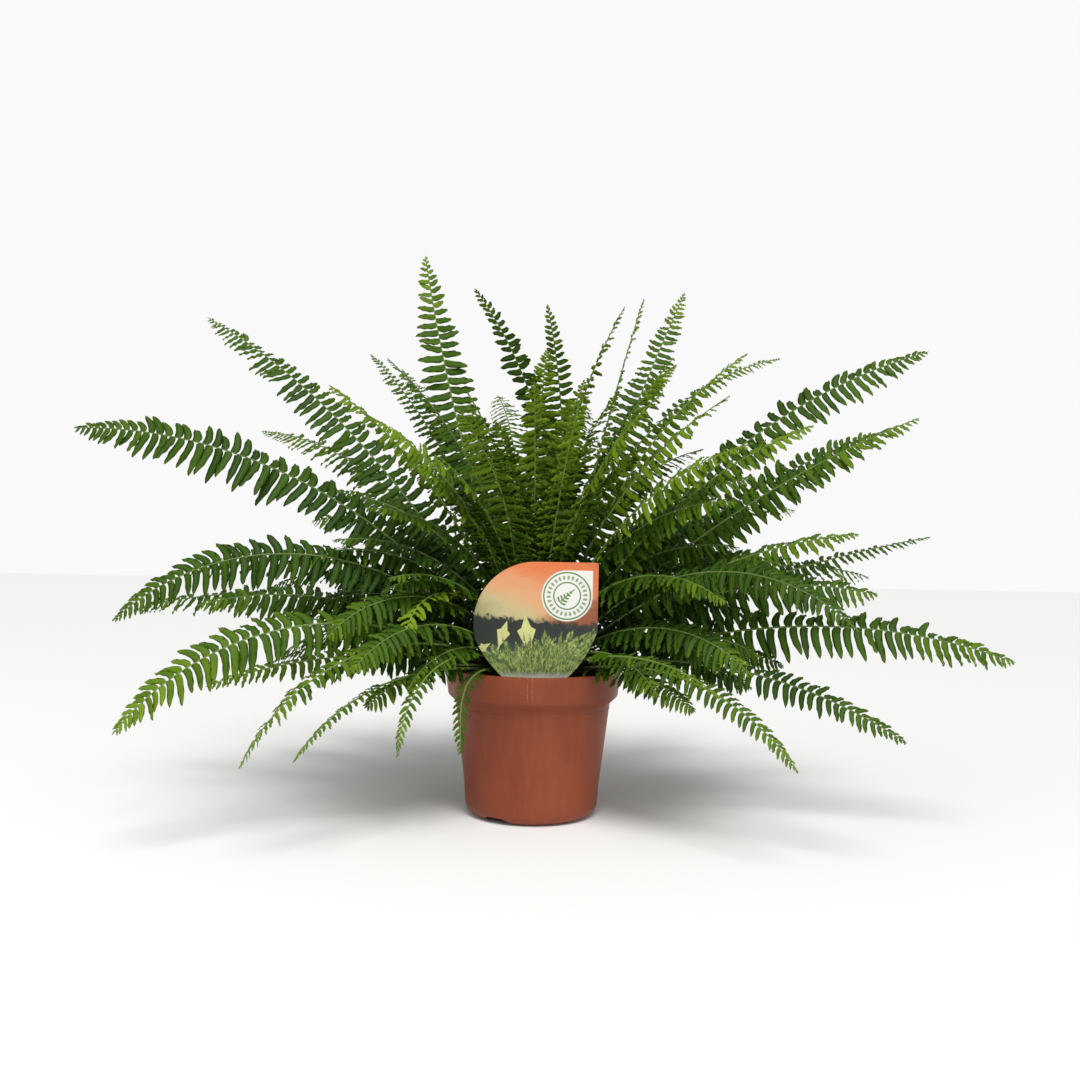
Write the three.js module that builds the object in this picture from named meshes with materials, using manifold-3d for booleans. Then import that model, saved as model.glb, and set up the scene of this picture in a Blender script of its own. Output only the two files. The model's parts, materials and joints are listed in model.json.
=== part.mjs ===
// A Boston fern in a 14 cm nursery pot: pot, potting soil, crown, plant label and its fronds.
// Millimetres, +Z up. The origin is the middle of the pot's foot, on the surface it stands on.
// Azimuths turn anticlockwise from +X, seen from above; the front of the plant is -Y.
import * as THREE from "three";
import { mergeVertices } from "three/addons/utils/BufferGeometryUtils.js";
import Module from "manifold-3d";

const wasm = await Module();
wasm.setup();

const deg = Math.PI / 180;

// Pot
const potHeight = 115;
const rimRadius = 70; // outside, at the lip
const rimBandHeight = 21;
const rimBandDraft = 2.8; // how much narrower the band is at its lower edge
const shoulderDrop = 5.5; // height of the slope under the band
const shoulderStep = 6; // how far that slope comes in
const footRadius = 51.8; // where the wall would meet the floor
const footFillet = 10;
const wall = 1.3;
const footRingWidth = 6; // flat ring that the pot stands on
const baseLift = 3.5; // height of the panel inside that ring
const baseBevel = 2.5; // slope between ring and panel
const drainHoleRadius = 4;
const drainCircleRadius = 25;
const drainHoleCount = 8;
const notchAzimuths = [237, 57]; // drainage arches in the foot
const notchWidth = 27;
const notchHeight = 4.5;
const potSides = 56;

// Soil
const fit = 0.4; // clearance between pieces that lie against each other
const soilBelowLip = 8;
const soilMound = 2; // how much higher the middle is

// Crown
const crownRadius = 31;
const crownHeight = 20;
const soilPlateau = crownRadius + 5; // flat middle of the soil that the crown sits on

// Label
const labelRadius = 46.5;
const labelThickness = 0.8;
const labelShift = 1; // to the right of the pot's middle
const labelRise = 38.5; // middle of the card above the lip
const labelNeck = 21; // half width where the card meets the stake
const stakeWidth = 16;
const stakeLength = 44; // below the card
const stakeGap = 2.3; // from the pot's inner wall to the middle of the stake's tip

// Fronds
const stipeRadius = 1.3; // half width of the bare stalk at the crown
const tipRadius = 0.5;
const bladeThickness = 1.3; // over the midrib
const stations = [0, 0.07, 0.13, 0.21, 0.3, 0.41, 0.53, 0.65, 0.76, 0.86, 0.94, 1];
const droopPower = 1.35; // droop gathers towards the tip
const swingPower = 1.6;
const lipGap = 1.2; // least way between a frond and the pot's lip as it passes over
const lipWidth = 6; // how far inside the lip's edge that way is kept
// Where each whorl springs from the crown's dome, in degrees up its side, and the share of its
// length that is bare stalk. Neighbours in a whorl stand at alternate heights.
const whorlSeats = { outer: [12, 26], middle: [38, 48], inner: [60, 72] };
const bareShares = { outer: 0.06, middle: 0.1, inner: 0.2 };

// Each row: azimuth, rise, droop, swing and roll in degrees, length and width in mm.
// rise is the angle above the horizon at the crown, and droop how far the tip falls below it.
// swing bends the frond sideways, and roll turns its upper face about its own midrib.
const outerFronds = [
  { azimuth: 54, rise: 22, droop: 62, swing: 0, roll: 10, length: 285, width: 46 },
  { azimuth: 76, rise: 30, droop: 66, swing: 0, roll: 0, length: 300, width: 48 },
  { azimuth: 103, rise: 20, droop: 60, swing: 0, roll: 0, length: 285, width: 46 },
  { azimuth: 126, rise: 28, droop: 68, swing: 0, roll: -10, length: 300, width: 48 },
  { azimuth: 146, rise: 20, droop: 58, swing: 0, roll: -16, length: 280, width: 44 },
  { azimuth: 175, rise: 24, droop: 42, swing: 0, roll: -40, length: 310, width: 40 },
  { azimuth: 190, rise: 33, droop: 50, swing: -4, roll: -44, length: 240, width: 42 },
  { azimuth: 202, rise: 9, droop: 28, swing: 0, roll: -40, length: 225, width: 30 },
  { azimuth: 211, rise: 28, droop: 80, swing: 0, roll: -45, length: 315, width: 44 },
  { azimuth: 222, rise: 22, droop: 84, swing: 0, roll: -20, length: 255, width: 26 },
  { azimuth: 223, rise: 9, droop: 50, swing: 17, roll: 0, length: 212, width: 16 },
  { azimuth: 230, rise: 22, droop: 106, swing: 17, roll: 0, length: 162, width: 18 },
  { azimuth: 232, rise: 15, droop: 112, swing: 60, roll: 0, length: 114, width: 16 },
  { azimuth: 309, rise: 16, droop: 40, swing: -8, roll: 20, length: 180, width: 16 },
  { azimuth: 316, rise: 14, droop: 62, swing: 0, roll: 30, length: 225, width: 22 },
  { azimuth: 328, rise: 10, droop: 40, swing: 0, roll: 50, length: 270, width: 30 },
  { azimuth: 350, rise: 20, droop: 40, swing: 0, roll: 60, length: 338, width: 46 },
];
const middleFronds = [
  { azimuth: 18, rise: 34, droop: 50, swing: 0, roll: 40, length: 300, width: 46 },
  { azimuth: 6, rise: 47, droop: 28, swing: 0, roll: 50, length: 320, width: 46 },
  { azimuth: 2, rise: 25, droop: 14, swing: 0, roll: 45, length: 310, width: 24 },
  { azimuth: 353, rise: 59, droop: 43, swing: -1, roll: 55, length: 375, width: 46 },
  { azimuth: 348, rise: 33, droop: 46, swing: -2, roll: 55, length: 250, width: 48 },
  { azimuth: 342, rise: 44, droop: 22, swing: 2, roll: 50, length: 325, width: 46 },
  { azimuth: 335, rise: 38, droop: 32, swing: 0, roll: 45, length: 250, width: 40 },
  { azimuth: 332, rise: 58, droop: 39, swing: 0, roll: 45, length: 270, width: 40 },
  { azimuth: 321, rise: 46, droop: 88, swing: 0, roll: 40, length: 275, width: 34 },
  { azimuth: 214, rise: 64, droop: 132, swing: 40, roll: 0, length: 150, width: 34 },
  { azimuth: 201, rise: 44, droop: 90, swing: -4, roll: -55, length: 325, width: 44 },
  { azimuth: 188, rise: 49, droop: 52, swing: 0, roll: -62, length: 385, width: 52 },
  { azimuth: 168, rise: 38, droop: 62, swing: 0, roll: -40, length: 300, width: 44 },
  { azimuth: 163, rise: 57, droop: 29, swing: 0, roll: -50, length: 400, width: 46 },
  { azimuth: 148, rise: 56, droop: 52, swing: 0, roll: -35, length: 350, width: 40 },
  { azimuth: 128, rise: 40, droop: 60, swing: 0, roll: -10, length: 320, width: 46 },
  { azimuth: 110, rise: 54, droop: 66, swing: 0, roll: 0, length: 320, width: 46 },
  { azimuth: 92, rise: 38, droop: 58, swing: 0, roll: 0, length: 320, width: 46 },
  { azimuth: 56, rise: 40, droop: 60, swing: 0, roll: 10, length: 320, width: 46 },
  { azimuth: 36, rise: 46, droop: 54, swing: 0, roll: 25, length: 320, width: 44 },
];
const innerFronds = [
  { azimuth: 356, rise: 75, droop: 40, swing: -2, roll: 50, length: 285, width: 36 },
  { azimuth: 11, rise: 78, droop: 66, swing: 10, roll: 40, length: 335, width: 24 },
  { azimuth: 32, rise: 84, droop: -50, swing: 0, roll: 20, length: 300, width: 42 },
  { azimuth: 46, rise: 62, droop: 2, swing: -6, roll: 50, length: 355, width: 42 },
  { azimuth: 60, rise: 72, droop: -45, swing: 0, roll: 20, length: 285, width: 34 },
  { azimuth: 78, rise: 68, droop: 58, swing: 0, roll: 10, length: 330, width: 46 },
  { azimuth: 100, rise: 70, droop: 56, swing: 0, roll: 0, length: 330, width: 46 },
  { azimuth: 124, rise: 60, droop: 30, swing: 0, roll: -30, length: 340, width: 36 },
  { azimuth: 143, rise: 69, droop: 29, swing: 8, roll: -50, length: 300, width: 26 },
  { azimuth: 162, rise: 70, droop: -10, swing: 0, roll: -60, length: 330, width: 50 },
  { azimuth: 203, rise: 68, droop: 36, swing: 0, roll: -40, length: 255, width: 40 },
  { azimuth: 222, rise: 72, droop: 53, swing: 0, roll: -30, length: 205, width: 34 },
  { azimuth: 244, rise: 80, droop: 42, swing: 0, roll: 0, length: 210, width: 34 },
  { azimuth: 268, rise: 84, droop: 30, swing: 0, roll: 0, length: 215, width: 38 },
  { azimuth: 289, rise: 79, droop: 34, swing: -6, roll: 10, length: 218, width: 34 },
  { azimuth: 306, rise: 86, droop: 26, swing: 40, roll: -10, length: 275, width: 28 },
  { azimuth: 320, rise: 78, droop: 34, swing: 0, roll: 20, length: 250, width: 32 },
  { azimuth: 334, rise: 70, droop: 41, swing: -4, roll: 45, length: 250, width: 36 },
  { azimuth: 346, rise: 79, droop: 6, swing: 2, roll: 40, length: 285, width: 26 },
];

// The pot's outside as radius and height, from the flat ring up to the lip.
const wallFootHeight = footFillet;
const bandFoot = potHeight - rimBandHeight;
const shoulderFoot = bandFoot - shoulderDrop;
const bodyTopRadius = rimRadius - rimBandDraft - shoulderStep;

const cardFoot = potHeight + labelRise - 0.92 * labelRadius; // where the card narrows to its stake
const stakeTip = cardFoot - stakeLength;
const bodyRise = (stakeTip - wallFootHeight) / (shoulderFoot - wallFootHeight);
const radiusAtStakeTip = footRadius + (bodyTopRadius - footRadius) * bodyRise;
const labelCentre = { x: labelShift, y: -(radiusAtStakeTip - wall - stakeGap), z: potHeight + labelRise };

function potOutline(inset) {
  const ringRadius = footRadius - footFillet;
  const points = [];
  const filletSteps = 4;
  for (let i = 0; i <= filletSteps; i++) {
    const turn = (i / filletSteps) * 90 * deg;
    const r = footFillet - inset;
    points.push([ringRadius + r * Math.sin(turn), wallFootHeight - r * Math.cos(turn)]);
  }
  points.push([bodyTopRadius - inset, shoulderFoot + inset * 0.5]);
  points.push([rimRadius - rimBandDraft - inset, bandFoot + inset * 0.5]);
  points.push([rimRadius - inset, potHeight]);
  return points;
}

function lathe(points, sides) {
  return new THREE.LatheGeometry(points.map(([r, z]) => new THREE.Vector2(r, z)), sides).rotateX(90 * deg);
}

function toSolid(geometry) {
  const bare = geometry.clone();
  bare.deleteAttribute("normal");
  bare.deleteAttribute("uv");
  const merged = mergeVertices(bare, 1e-4);
  return new wasm.Manifold(
    new wasm.Mesh({
      numProp: 3,
      vertProperties: new Float32Array(merged.attributes.position.array),
      triVerts: new Uint32Array(merged.index.array),
    }),
  );
}

function toGeometry(solid) {
  const mesh = solid.getMesh();
  const geometry = new THREE.BufferGeometry();
  geometry.setAttribute("position", new THREE.BufferAttribute(new Float32Array(mesh.vertProperties), 3));
  geometry.setIndex(new THREE.BufferAttribute(new Uint32Array(mesh.triVerts), 1));
  geometry.computeVertexNormals();
  return geometry;
}

// Pot: one moulded wall with a stepped rim band, a lifted base panel, drain holes and two foot arches.
function potGeometry() {
  const ringInner = footRadius - footFillet - footRingWidth;
  const panelRadius = ringInner - baseBevel;
  const outside = potOutline(0);
  const inside = potOutline(wall).reverse();
  const profile = [
    [0, baseLift],
    [panelRadius, baseLift],
    [ringInner, 0],
    ...outside,
    ...inside,
    [ringInner, wall],
    [panelRadius, baseLift + wall],
    [0, baseLift + wall],
  ];
  let pot = toSolid(lathe(profile, potSides));
  const holeHeight = 3 * (baseLift + wall);
  const hole = new THREE.CylinderGeometry(drainHoleRadius, drainHoleRadius, holeHeight, 16).rotateX(90 * deg);
  pot = pot.subtract(toSolid(hole));
  for (let i = 0; i < drainHoleCount; i++) {
    const turn = (i / drainHoleCount) * 360 * deg;
    const place = [drainCircleRadius * Math.cos(turn), drainCircleRadius * Math.sin(turn), 0];
    pot = pot.subtract(toSolid(hole.clone().translate(...place)));
  }
  for (const azimuth of notchAzimuths) pot = pot.subtract(toSolid(notchGeometry(azimuth * deg)));
  return toGeometry(pot);
}

// A low arch that cuts through the foot ring and the fillet outside it.
function notchGeometry(azimuth) {
  const half = notchWidth / 2;
  const arch = new THREE.Shape();
  arch.moveTo(-half, -notchHeight);
  arch.lineTo(half, -notchHeight);
  arch.lineTo(half, 0);
  arch.quadraticCurveTo(half * 0.7, notchHeight, half * 0.3, notchHeight);
  arch.lineTo(-half * 0.3, notchHeight);
  arch.quadraticCurveTo(-half * 0.7, notchHeight, -half, 0);
  const depth = footRingWidth + footFillet + baseBevel;
  return new THREE.ExtrudeGeometry(arch, { depth, bevelEnabled: false, curveSegments: 3 })
    .rotateX(90 * deg)
    .rotateZ(-90 * deg)
    .translate(footRadius + 0.5, 0, 0)
    .rotateZ(azimuth);
}

// Soil: fills the pot to just under the lip, with the label's stake cut out of it.
function soilGeometry() {
  const gap = wall + fit;
  const top = potHeight - soilBelowLip;
  const floor = baseLift + gap;
  const sides = potOutline(gap).slice(0, -1);
  const bandDraft = rimBandDraft / rimBandHeight;
  const profile = [
    [0, floor],
    [footRadius - footFillet - footRingWidth, floor],
    ...sides.slice(2),
    [rimRadius - gap - bandDraft * soilBelowLip, top],
    [soilPlateau, top + soilMound],
    [0, top + soilMound],
  ];
  return toGeometry(toSolid(lathe(profile, 40)).subtract(toSolid(labelSlot())));
}

// Crown: the low dome of rhizome that the fronds rise from.
function crownGeometry() {
  const base = potHeight - soilBelowLip + soilMound + fit;
  const profile = [[0, base], [crownRadius, base]];
  const steps = 5;
  for (let i = 1; i <= steps; i++) {
    const turn = (i / steps) * 90 * deg;
    profile.push([crownRadius * Math.cos(turn) * (i < steps ? 1 : 0), base + crownHeight * Math.sin(turn)]);
  }
  return lathe(profile, 28);
}

// Label: a drop-shaped card with a square upper corner, on a stake pushed into the soil.
function labelOutline(grow) {
  const r = labelRadius + grow;
  const outline = new THREE.Shape();
  const chin = -r * 0.92;
  const neck = labelNeck + grow;
  const stake = stakeWidth / 2 + grow;
  const foot = chin - stakeLength - grow;
  outline.moveTo(r, r);
  outline.lineTo(0, r);
  outline.absarc(0, 0, r, 90 * deg, 195 * deg, false);
  outline.quadraticCurveTo(-r * 0.78, -r * 0.66, -neck, chin);
  outline.lineTo(-stake, chin - 6);
  outline.lineTo(-stake * 0.8, foot + 10);
  outline.lineTo(0, foot);
  outline.lineTo(stake * 0.8, foot + 10);
  outline.lineTo(stake, chin - 6);
  outline.lineTo(neck, chin);
  outline.quadraticCurveTo(r * 0.82, -r * 0.62, r, -r * 0.1);
  outline.closePath();
  return outline;
}

function labelGeometry(grow = 0) {
  const depth = labelThickness + 2 * grow;
  return new THREE.ExtrudeGeometry(labelOutline(grow), { depth, bevelEnabled: false, curveSegments: 12 })
    .rotateX(90 * deg)
    .translate(labelCentre.x, labelCentre.y + depth / 2, labelCentre.z);
}

const labelSlot = () => labelGeometry(fit);

// Half width of a frond at a share u of its length: bare stalk, then a long narrow blade.
function bladeHalfWidth(u, width, bare) {
  const opening = THREE.MathUtils.smoothstep(u, bare, bare + 0.26);
  const closing = Math.pow(Math.max(0, 1 - Math.pow(u, 4.6)), 0.75);
  return (width / 2) * (0.16 * opening + 0.84 * opening * opening) * closing;
}

// Whether a place would cut the pot's lip or hang inside its edge.
function meetsLip({ x, y, z }) {
  const radius = Math.hypot(x, y);
  return z < potHeight + lipGap && radius > rimRadius - lipWidth && radius < rimRadius + lipGap;
}

// A frond rises as steeply as it takes to pass over the lip.
function frondFrames(frond, seat, bare) {
  const meets = ({ u, point, side }) => {
    const half = Math.max(stipeRadius, bladeHalfWidth(u, frond.width, bare));
    return [half, -half].some((across) => meetsLip(point.clone().addScaledVector(side, across)));
  };
  let frames = framesAt(frond, seat);
  for (let rise = frond.rise + 1; rise < 90 && frames.some(meets); rise++) {
    frames = framesAt({ ...frond, rise }, seat);
  }
  return stations.map((u) => frames[Math.round(u * midribSteps)]);
}

// Where a frond's midrib runs: its point, side and upper direction.
const midribSteps = 200;
function framesAt(frond, seat) {
  const lean = seat * deg;
  const azimuth = frond.azimuth * deg;
  const clear = fit + stipeRadius;
  const point = new THREE.Vector3(
    (crownRadius + clear) * Math.cos(lean) * Math.cos(azimuth),
    (crownRadius + clear) * Math.cos(lean) * Math.sin(azimuth),
    potHeight - soilBelowLip + soilMound + fit + (crownHeight + clear) * Math.sin(lean),
  );
  const frames = [];
  for (let i = 0; i <= midribSteps; i++) {
    const u = i / midribSteps;
    const theta = (frond.rise - frond.droop * Math.pow(u, droopPower)) * deg;
    const phi = (frond.azimuth + frond.swing * Math.pow(u, swingPower)) * deg;
    const along = new THREE.Vector3(
      Math.cos(theta) * Math.cos(phi),
      Math.cos(theta) * Math.sin(phi),
      Math.sin(theta),
    );
    const level = new THREE.Vector3(-Math.sin(phi), Math.cos(phi), 0);
    const up = new THREE.Vector3().crossVectors(along, level);
    const roll = frond.roll * THREE.MathUtils.smoothstep(u, 0, 0.4) * deg;
    const side = level.clone().multiplyScalar(Math.cos(roll)).addScaledVector(up, Math.sin(roll));
    const face = up.clone().multiplyScalar(Math.cos(roll)).addScaledVector(level, -Math.sin(roll));
    frames.push({ u, point: point.clone(), side, face });
    point.addScaledVector(along, frond.length / midribSteps);
  }
  return frames;
}

// Frond: a closed blade with a ridge over and under its midrib.
function frondGeometry(frond, seat, bare) {
  const positions = [];
  const index = [];
  for (const { u, point, side, face } of frondFrames(frond, seat, bare)) {
    const stalk = THREE.MathUtils.lerp(stipeRadius, tipRadius, u);
    const half = Math.max(stalk, bladeHalfWidth(u, frond.width, bare));
    const thick = THREE.MathUtils.lerp(stipeRadius, bladeThickness / 2, Math.min(1, u * 4)) * (1 - 0.5 * u);
    const offsets = [[half, 0], [0, thick], [-half, 0], [0, -thick]];
    for (const [across, over] of offsets) {
      const corner = point.clone().addScaledVector(side, across).addScaledVector(face, over);
      positions.push(corner.x, corner.y, corner.z);
    }
  }
  const rings = stations.length;
  for (let ring = 0; ring < rings - 1; ring++) {
    for (let k = 0; k < 4; k++) {
      const a = ring * 4 + k;
      const b = ring * 4 + ((k + 1) % 4);
      // upper and under face fold along the same lines, so a twisted blade never crosses itself
      if (k % 2) index.push(a, b, b + 4, a, b + 4, a + 4);
      else index.push(a, b, a + 4, b, b + 4, a + 4);
    }
  }
  const last = (rings - 1) * 4;
  index.push(0, 2, 1, 0, 3, 2);
  index.push(last, last + 1, last + 2, last, last + 2, last + 3);
  const geometry = new THREE.BufferGeometry();
  geometry.setAttribute("position", new THREE.Float32BufferAttribute(positions, 3));
  geometry.setIndex(index);
  geometry.computeVertexNormals();
  return geometry;
}

// Materials
const materials = {
  pot: new THREE.MeshStandardMaterial({ color: 0x9a4a30, roughness: 0.55, metalness: 0 }),
  soil: new THREE.MeshStandardMaterial({ color: 0x1d1712, roughness: 0.95, metalness: 0 }),
  crown: new THREE.MeshStandardMaterial({ color: 0x4a3a22, roughness: 0.9, metalness: 0 }),
  label: new THREE.MeshStandardMaterial({ color: 0xe9b27a, roughness: 0.4, metalness: 0 }),
  outer: new THREE.MeshStandardMaterial({ color: 0x2f6a1e, roughness: 0.5, metalness: 0 }),
  middle: new THREE.MeshStandardMaterial({ color: 0x2a5f1c, roughness: 0.5, metalness: 0 }),
  inner: new THREE.MeshStandardMaterial({ color: 0x3f7f22, roughness: 0.5, metalness: 0 }),
};

const fern = new THREE.Group();

function add(name, geometry, material) {
  const mesh = new THREE.Mesh(geometry, material);
  mesh.name = name;
  fern.add(mesh);
}

add("nursery_pot", potGeometry(), materials.pot);
add("potting_soil", soilGeometry(), materials.soil);
add("crown", crownGeometry(), materials.crown);
add("plant_label", labelGeometry(), materials.label);

const whorls = { outer: outerFronds, middle: middleFronds, inner: innerFronds };
for (const [whorl, fronds] of Object.entries(whorls)) {
  fronds.forEach((frond, i) => {
    const number = String(i + 1).padStart(2, "0");
    const seat = whorlSeats[whorl][i % 2];
    add(`${whorl}_frond_${number}`, frondGeometry(frond, seat, bareShares[whorl]), materials[whorl]);
  });
}

export default fern;
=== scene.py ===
import json
import math
import random

import bmesh
import bpy
import numpy as np
from mathutils import Matrix, Vector, noise


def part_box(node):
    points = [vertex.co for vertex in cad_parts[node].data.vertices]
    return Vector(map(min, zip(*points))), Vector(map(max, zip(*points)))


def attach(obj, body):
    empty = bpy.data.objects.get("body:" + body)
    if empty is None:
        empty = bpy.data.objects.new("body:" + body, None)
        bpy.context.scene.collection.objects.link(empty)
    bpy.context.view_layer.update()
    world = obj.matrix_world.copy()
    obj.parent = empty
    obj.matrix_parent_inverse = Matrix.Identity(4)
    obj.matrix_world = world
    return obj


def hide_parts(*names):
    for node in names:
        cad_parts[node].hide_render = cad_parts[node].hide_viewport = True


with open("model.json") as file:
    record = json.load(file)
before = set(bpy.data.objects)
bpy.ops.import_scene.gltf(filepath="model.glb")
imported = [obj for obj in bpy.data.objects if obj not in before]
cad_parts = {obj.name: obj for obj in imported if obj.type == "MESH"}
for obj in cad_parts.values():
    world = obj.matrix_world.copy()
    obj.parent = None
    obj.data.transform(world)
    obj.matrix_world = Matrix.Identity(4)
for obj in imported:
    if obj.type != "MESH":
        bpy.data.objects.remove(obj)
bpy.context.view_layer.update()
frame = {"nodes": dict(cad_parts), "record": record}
scene = bpy.context.scene
mm = 0.001


# shared helpers
def say(words):
    print("fern:", words)


def newObject(name, data):
    made = bpy.data.objects.new(name, data)
    scene.collection.objects.link(made)
    return made


def meshOf(name, points, faces, smooth=True):
    mesh = bpy.data.meshes.new(name)
    mesh.from_pydata([tuple(p) for p in points], [], faces)
    mesh.update()
    if smooth:
        mesh.shade_smooth()
    return mesh


def meshFrom(name, work):
    mesh = bpy.data.meshes.new(name)
    work.to_mesh(mesh)
    work.free()
    return mesh


def meshSet(name, meshes):
    group = bpy.data.collections.new(name)
    for mesh in meshes:
        group.objects.link(bpy.data.objects.new(mesh.name, mesh))
    return group


def evaluatedMesh(thing):
    graph = bpy.context.evaluated_depsgraph_get()
    return bpy.data.meshes.new_from_object(thing.evaluated_get(graph), depsgraph=graph)


def smoothstep(low, high, x):
    t = min(1.0, max(0.0, (x - low) / (high - low)))
    return t * t * (3 - 2 * t)


def finishPiece(piece, slotName, *nodes):
    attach(piece, "root")
    if nodes:
        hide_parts(*nodes)


# node tree helpers
class Field:
    # an output inside a node tree, so that node maths reads as plain arithmetic
    def __init__(self, socket):
        self.socket = socket

    def __add__(self, other):
        return calc("ADD", self, other)

    def __radd__(self, other):
        return calc("ADD", other, self)

    def __sub__(self, other):
        return calc("SUBTRACT", self, other)

    def __rsub__(self, other):
        return calc("SUBTRACT", other, self)

    def __mul__(self, other):
        return calc("MULTIPLY", self, other)

    def __rmul__(self, other):
        return calc("MULTIPLY", other, self)

    def __truediv__(self, other):
        return calc("DIVIDE", self, other)

    def __pow__(self, other):
        return calc("POWER", self, other)

    def __abs__(self):
        return calc("ABSOLUTE", self)


def feed(socket, value):
    # a socket takes a link from another socket, or a plain value
    value = value.socket if isinstance(value, Field) else value
    if isinstance(value, bpy.types.NodeSocket):
        socket.id_data.links.new(value, socket)
    else:
        socket.default_value = value


def addNode(tree, kind, inputs=None, **settings):
    node = tree.nodes.new(kind)
    for key, value in settings.items():
        setattr(node, key, value)
    for label, value in (inputs or {}).items():
        feed(node.inputs[label], value)
    return node


def fieldsOf(node):
    return {socket.name: Field(socket) for socket in node.outputs if socket.name}


def treeOf(*values):
    return next(value.socket.id_data for value in values if isinstance(value, Field))


def result(tree, kind, inputs=None, out=0, **settings):
    return Field(addNode(tree, kind, inputs, **settings).outputs[out])


def calc(operation, a, b=None, clamp=False):
    inputs = {0: a} if b is None else {0: a, 1: b}
    return result(treeOf(a, b), "ShaderNodeMath", inputs, operation=operation, use_clamp=clamp)


def vectorCalc(operation, a, b=None, scale=None):
    inputs = {label: value for label, value in ((0, a), (1, b), ("Scale", scale)) if value is not None}
    out = "Value" if operation == "LENGTH" else "Vector"
    return result(treeOf(a), "ShaderNodeVectorMath", inputs, out, operation=operation)


def scaled(vector, share):
    return vectorCalc("SCALE", vector, scale=share)


def mixColor(share, a, b):
    inputs = {"Factor": share, 6: a, 7: b}
    return result(treeOf(share, a, b), "ShaderNodeMix", inputs, 2, data_type="RGBA")


def remap(value, fromLow, fromHigh, toLow=0.0, toHigh=1.0, smooth=True):
    inputs = dict(enumerate((value, fromLow, fromHigh, toLow, toHigh)))
    kind = "SMOOTHSTEP" if smooth else "LINEAR"
    return result(treeOf(value), "ShaderNodeMapRange", inputs, interpolation_type=kind)


def attribute(tree, name):
    return result(tree, "ShaderNodeAttribute", out="Fac", attribute_name=name, attribute_type="GEOMETRY")


def noiseAt(vector, scale, detail=3.0, roughness=0.55, distortion=0.0):
    inputs = {"Vector": vector, "Scale": scale, "Detail": detail, "Roughness": roughness,
              "Distortion": distortion}
    return result(treeOf(vector), "ShaderNodeTexNoise", inputs, "Fac")


def stretched(vector, scale):
    return result(treeOf(vector), "ShaderNodeMapping", {"Vector": vector, "Scale": scale})


def combined(tree, x=0.0, y=0.0, z=0.0):
    return result(tree, "ShaderNodeCombineXYZ", {0: x, 1: y, 2: z})


def separated(vector):
    node = addNode(treeOf(vector), "ShaderNodeSeparateXYZ", {0: vector})
    return [Field(socket) for socket in node.outputs]


def objectPoint(tree):
    return result(tree, "ShaderNodeTexCoord", out="Object")


def groupTree(name, kind, ins, outs):
    # each input has a number to start from, or else the kind of its socket
    tree = bpy.data.node_groups.new(name, kind)
    kindOf = {int: "NodeSocketInt", float: "NodeSocketFloat"}
    for label, value in ins.items():
        socketKind = kindOf.get(type(value), value)
        socket = tree.interface.new_socket(name=label, in_out="INPUT", socket_type=socketKind)
        if type(value) in kindOf:
            socket.default_value = value
    for label, socketKind in outs.items():
        tree.interface.new_socket(name=label, in_out="OUTPUT", socket_type=socketKind)
    given = fieldsOf(tree.nodes.new("NodeGroupInput"))
    return tree, given, tree.nodes.new("NodeGroupOutput").inputs


def inputIds(tree):
    return {item.name: item.identifier for item in tree.interface.items_tree if item.in_out == "INPUT"}


def useGroup(group, **values):
    return fieldsOf(addNode(treeOf(*values.values()), "ShaderNodeGroup", values, node_tree=group))


def newMaterial(name, **fixed):
    material = bpy.data.materials.new(name)
    material.use_nodes = True
    shader = material.node_tree.nodes["Principled BSDF"]
    for label, value in fixed.items():
        shader.inputs[label.replace("_", " ")].default_value = value
    return material, material.node_tree, shader


def bumpInto(shader, height, strength, distance):
    inputs = {"Strength": strength, "Distance": distance, "Height": height}
    feed(shader.inputs["Normal"], result(treeOf(height), "ShaderNodeBump", inputs, "Normal"))


# shared surface effects
def makeGrainGroup():
    # fine two-scale grain: a mask around 0.5 and the height that goes with it
    tree, given, ends = groupTree(
        "fine grain", "ShaderNodeTree",
        {"Vector": "NodeSocketVector", "Coarse": 60.0, "Fine": 900.0, "Balance": 0.5},
        {"Mask": "NodeSocketFloat", "Height": "NodeSocketFloat"})
    scales = []
    for label in ("Coarse", "Fine"):
        inputs = {"Vector": given["Vector"], "Scale": given[label], "Detail": 4.0}
        scales.append(result(tree, "ShaderNodeTexNoise", inputs, "Fac"))
    inputs = {"Factor": given["Balance"], 2: scales[0], 3: scales[1]}
    feed(ends["Mask"], result(tree, "ShaderNodeMix", inputs, data_type="FLOAT"))
    feed(ends["Height"], scales[1])
    return tree


grainGroup = makeGrainGroup()


# leaf and stalk materials
leafLook = {
    # the darkest green, for old leaflets and for the painted shade deep in the plant
    "oldAndShadedGreen": (0.0120, 0.041, 0.0018, 1),
    "matureGreen": (0.035, 0.088, 0.0034, 1),
    "youngGreen": (0.150, 0.250, 0.008, 1),
    "tipYellow": (0.240, 0.320, 0.016, 1),
    "veinGreen": (0.090, 0.165, 0.011, 1),
    "underGreen": (0.056, 0.115, 0.009, 1),
    "stalkOld": (0.085, 0.130, 0.028, 1), "stalkYoung": (0.190, 0.300, 0.055, 1),
    "footDark": (0.055, 0.024, 0.010, 1), "footBrown": (0.120, 0.062, 0.026, 1),
}


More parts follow.
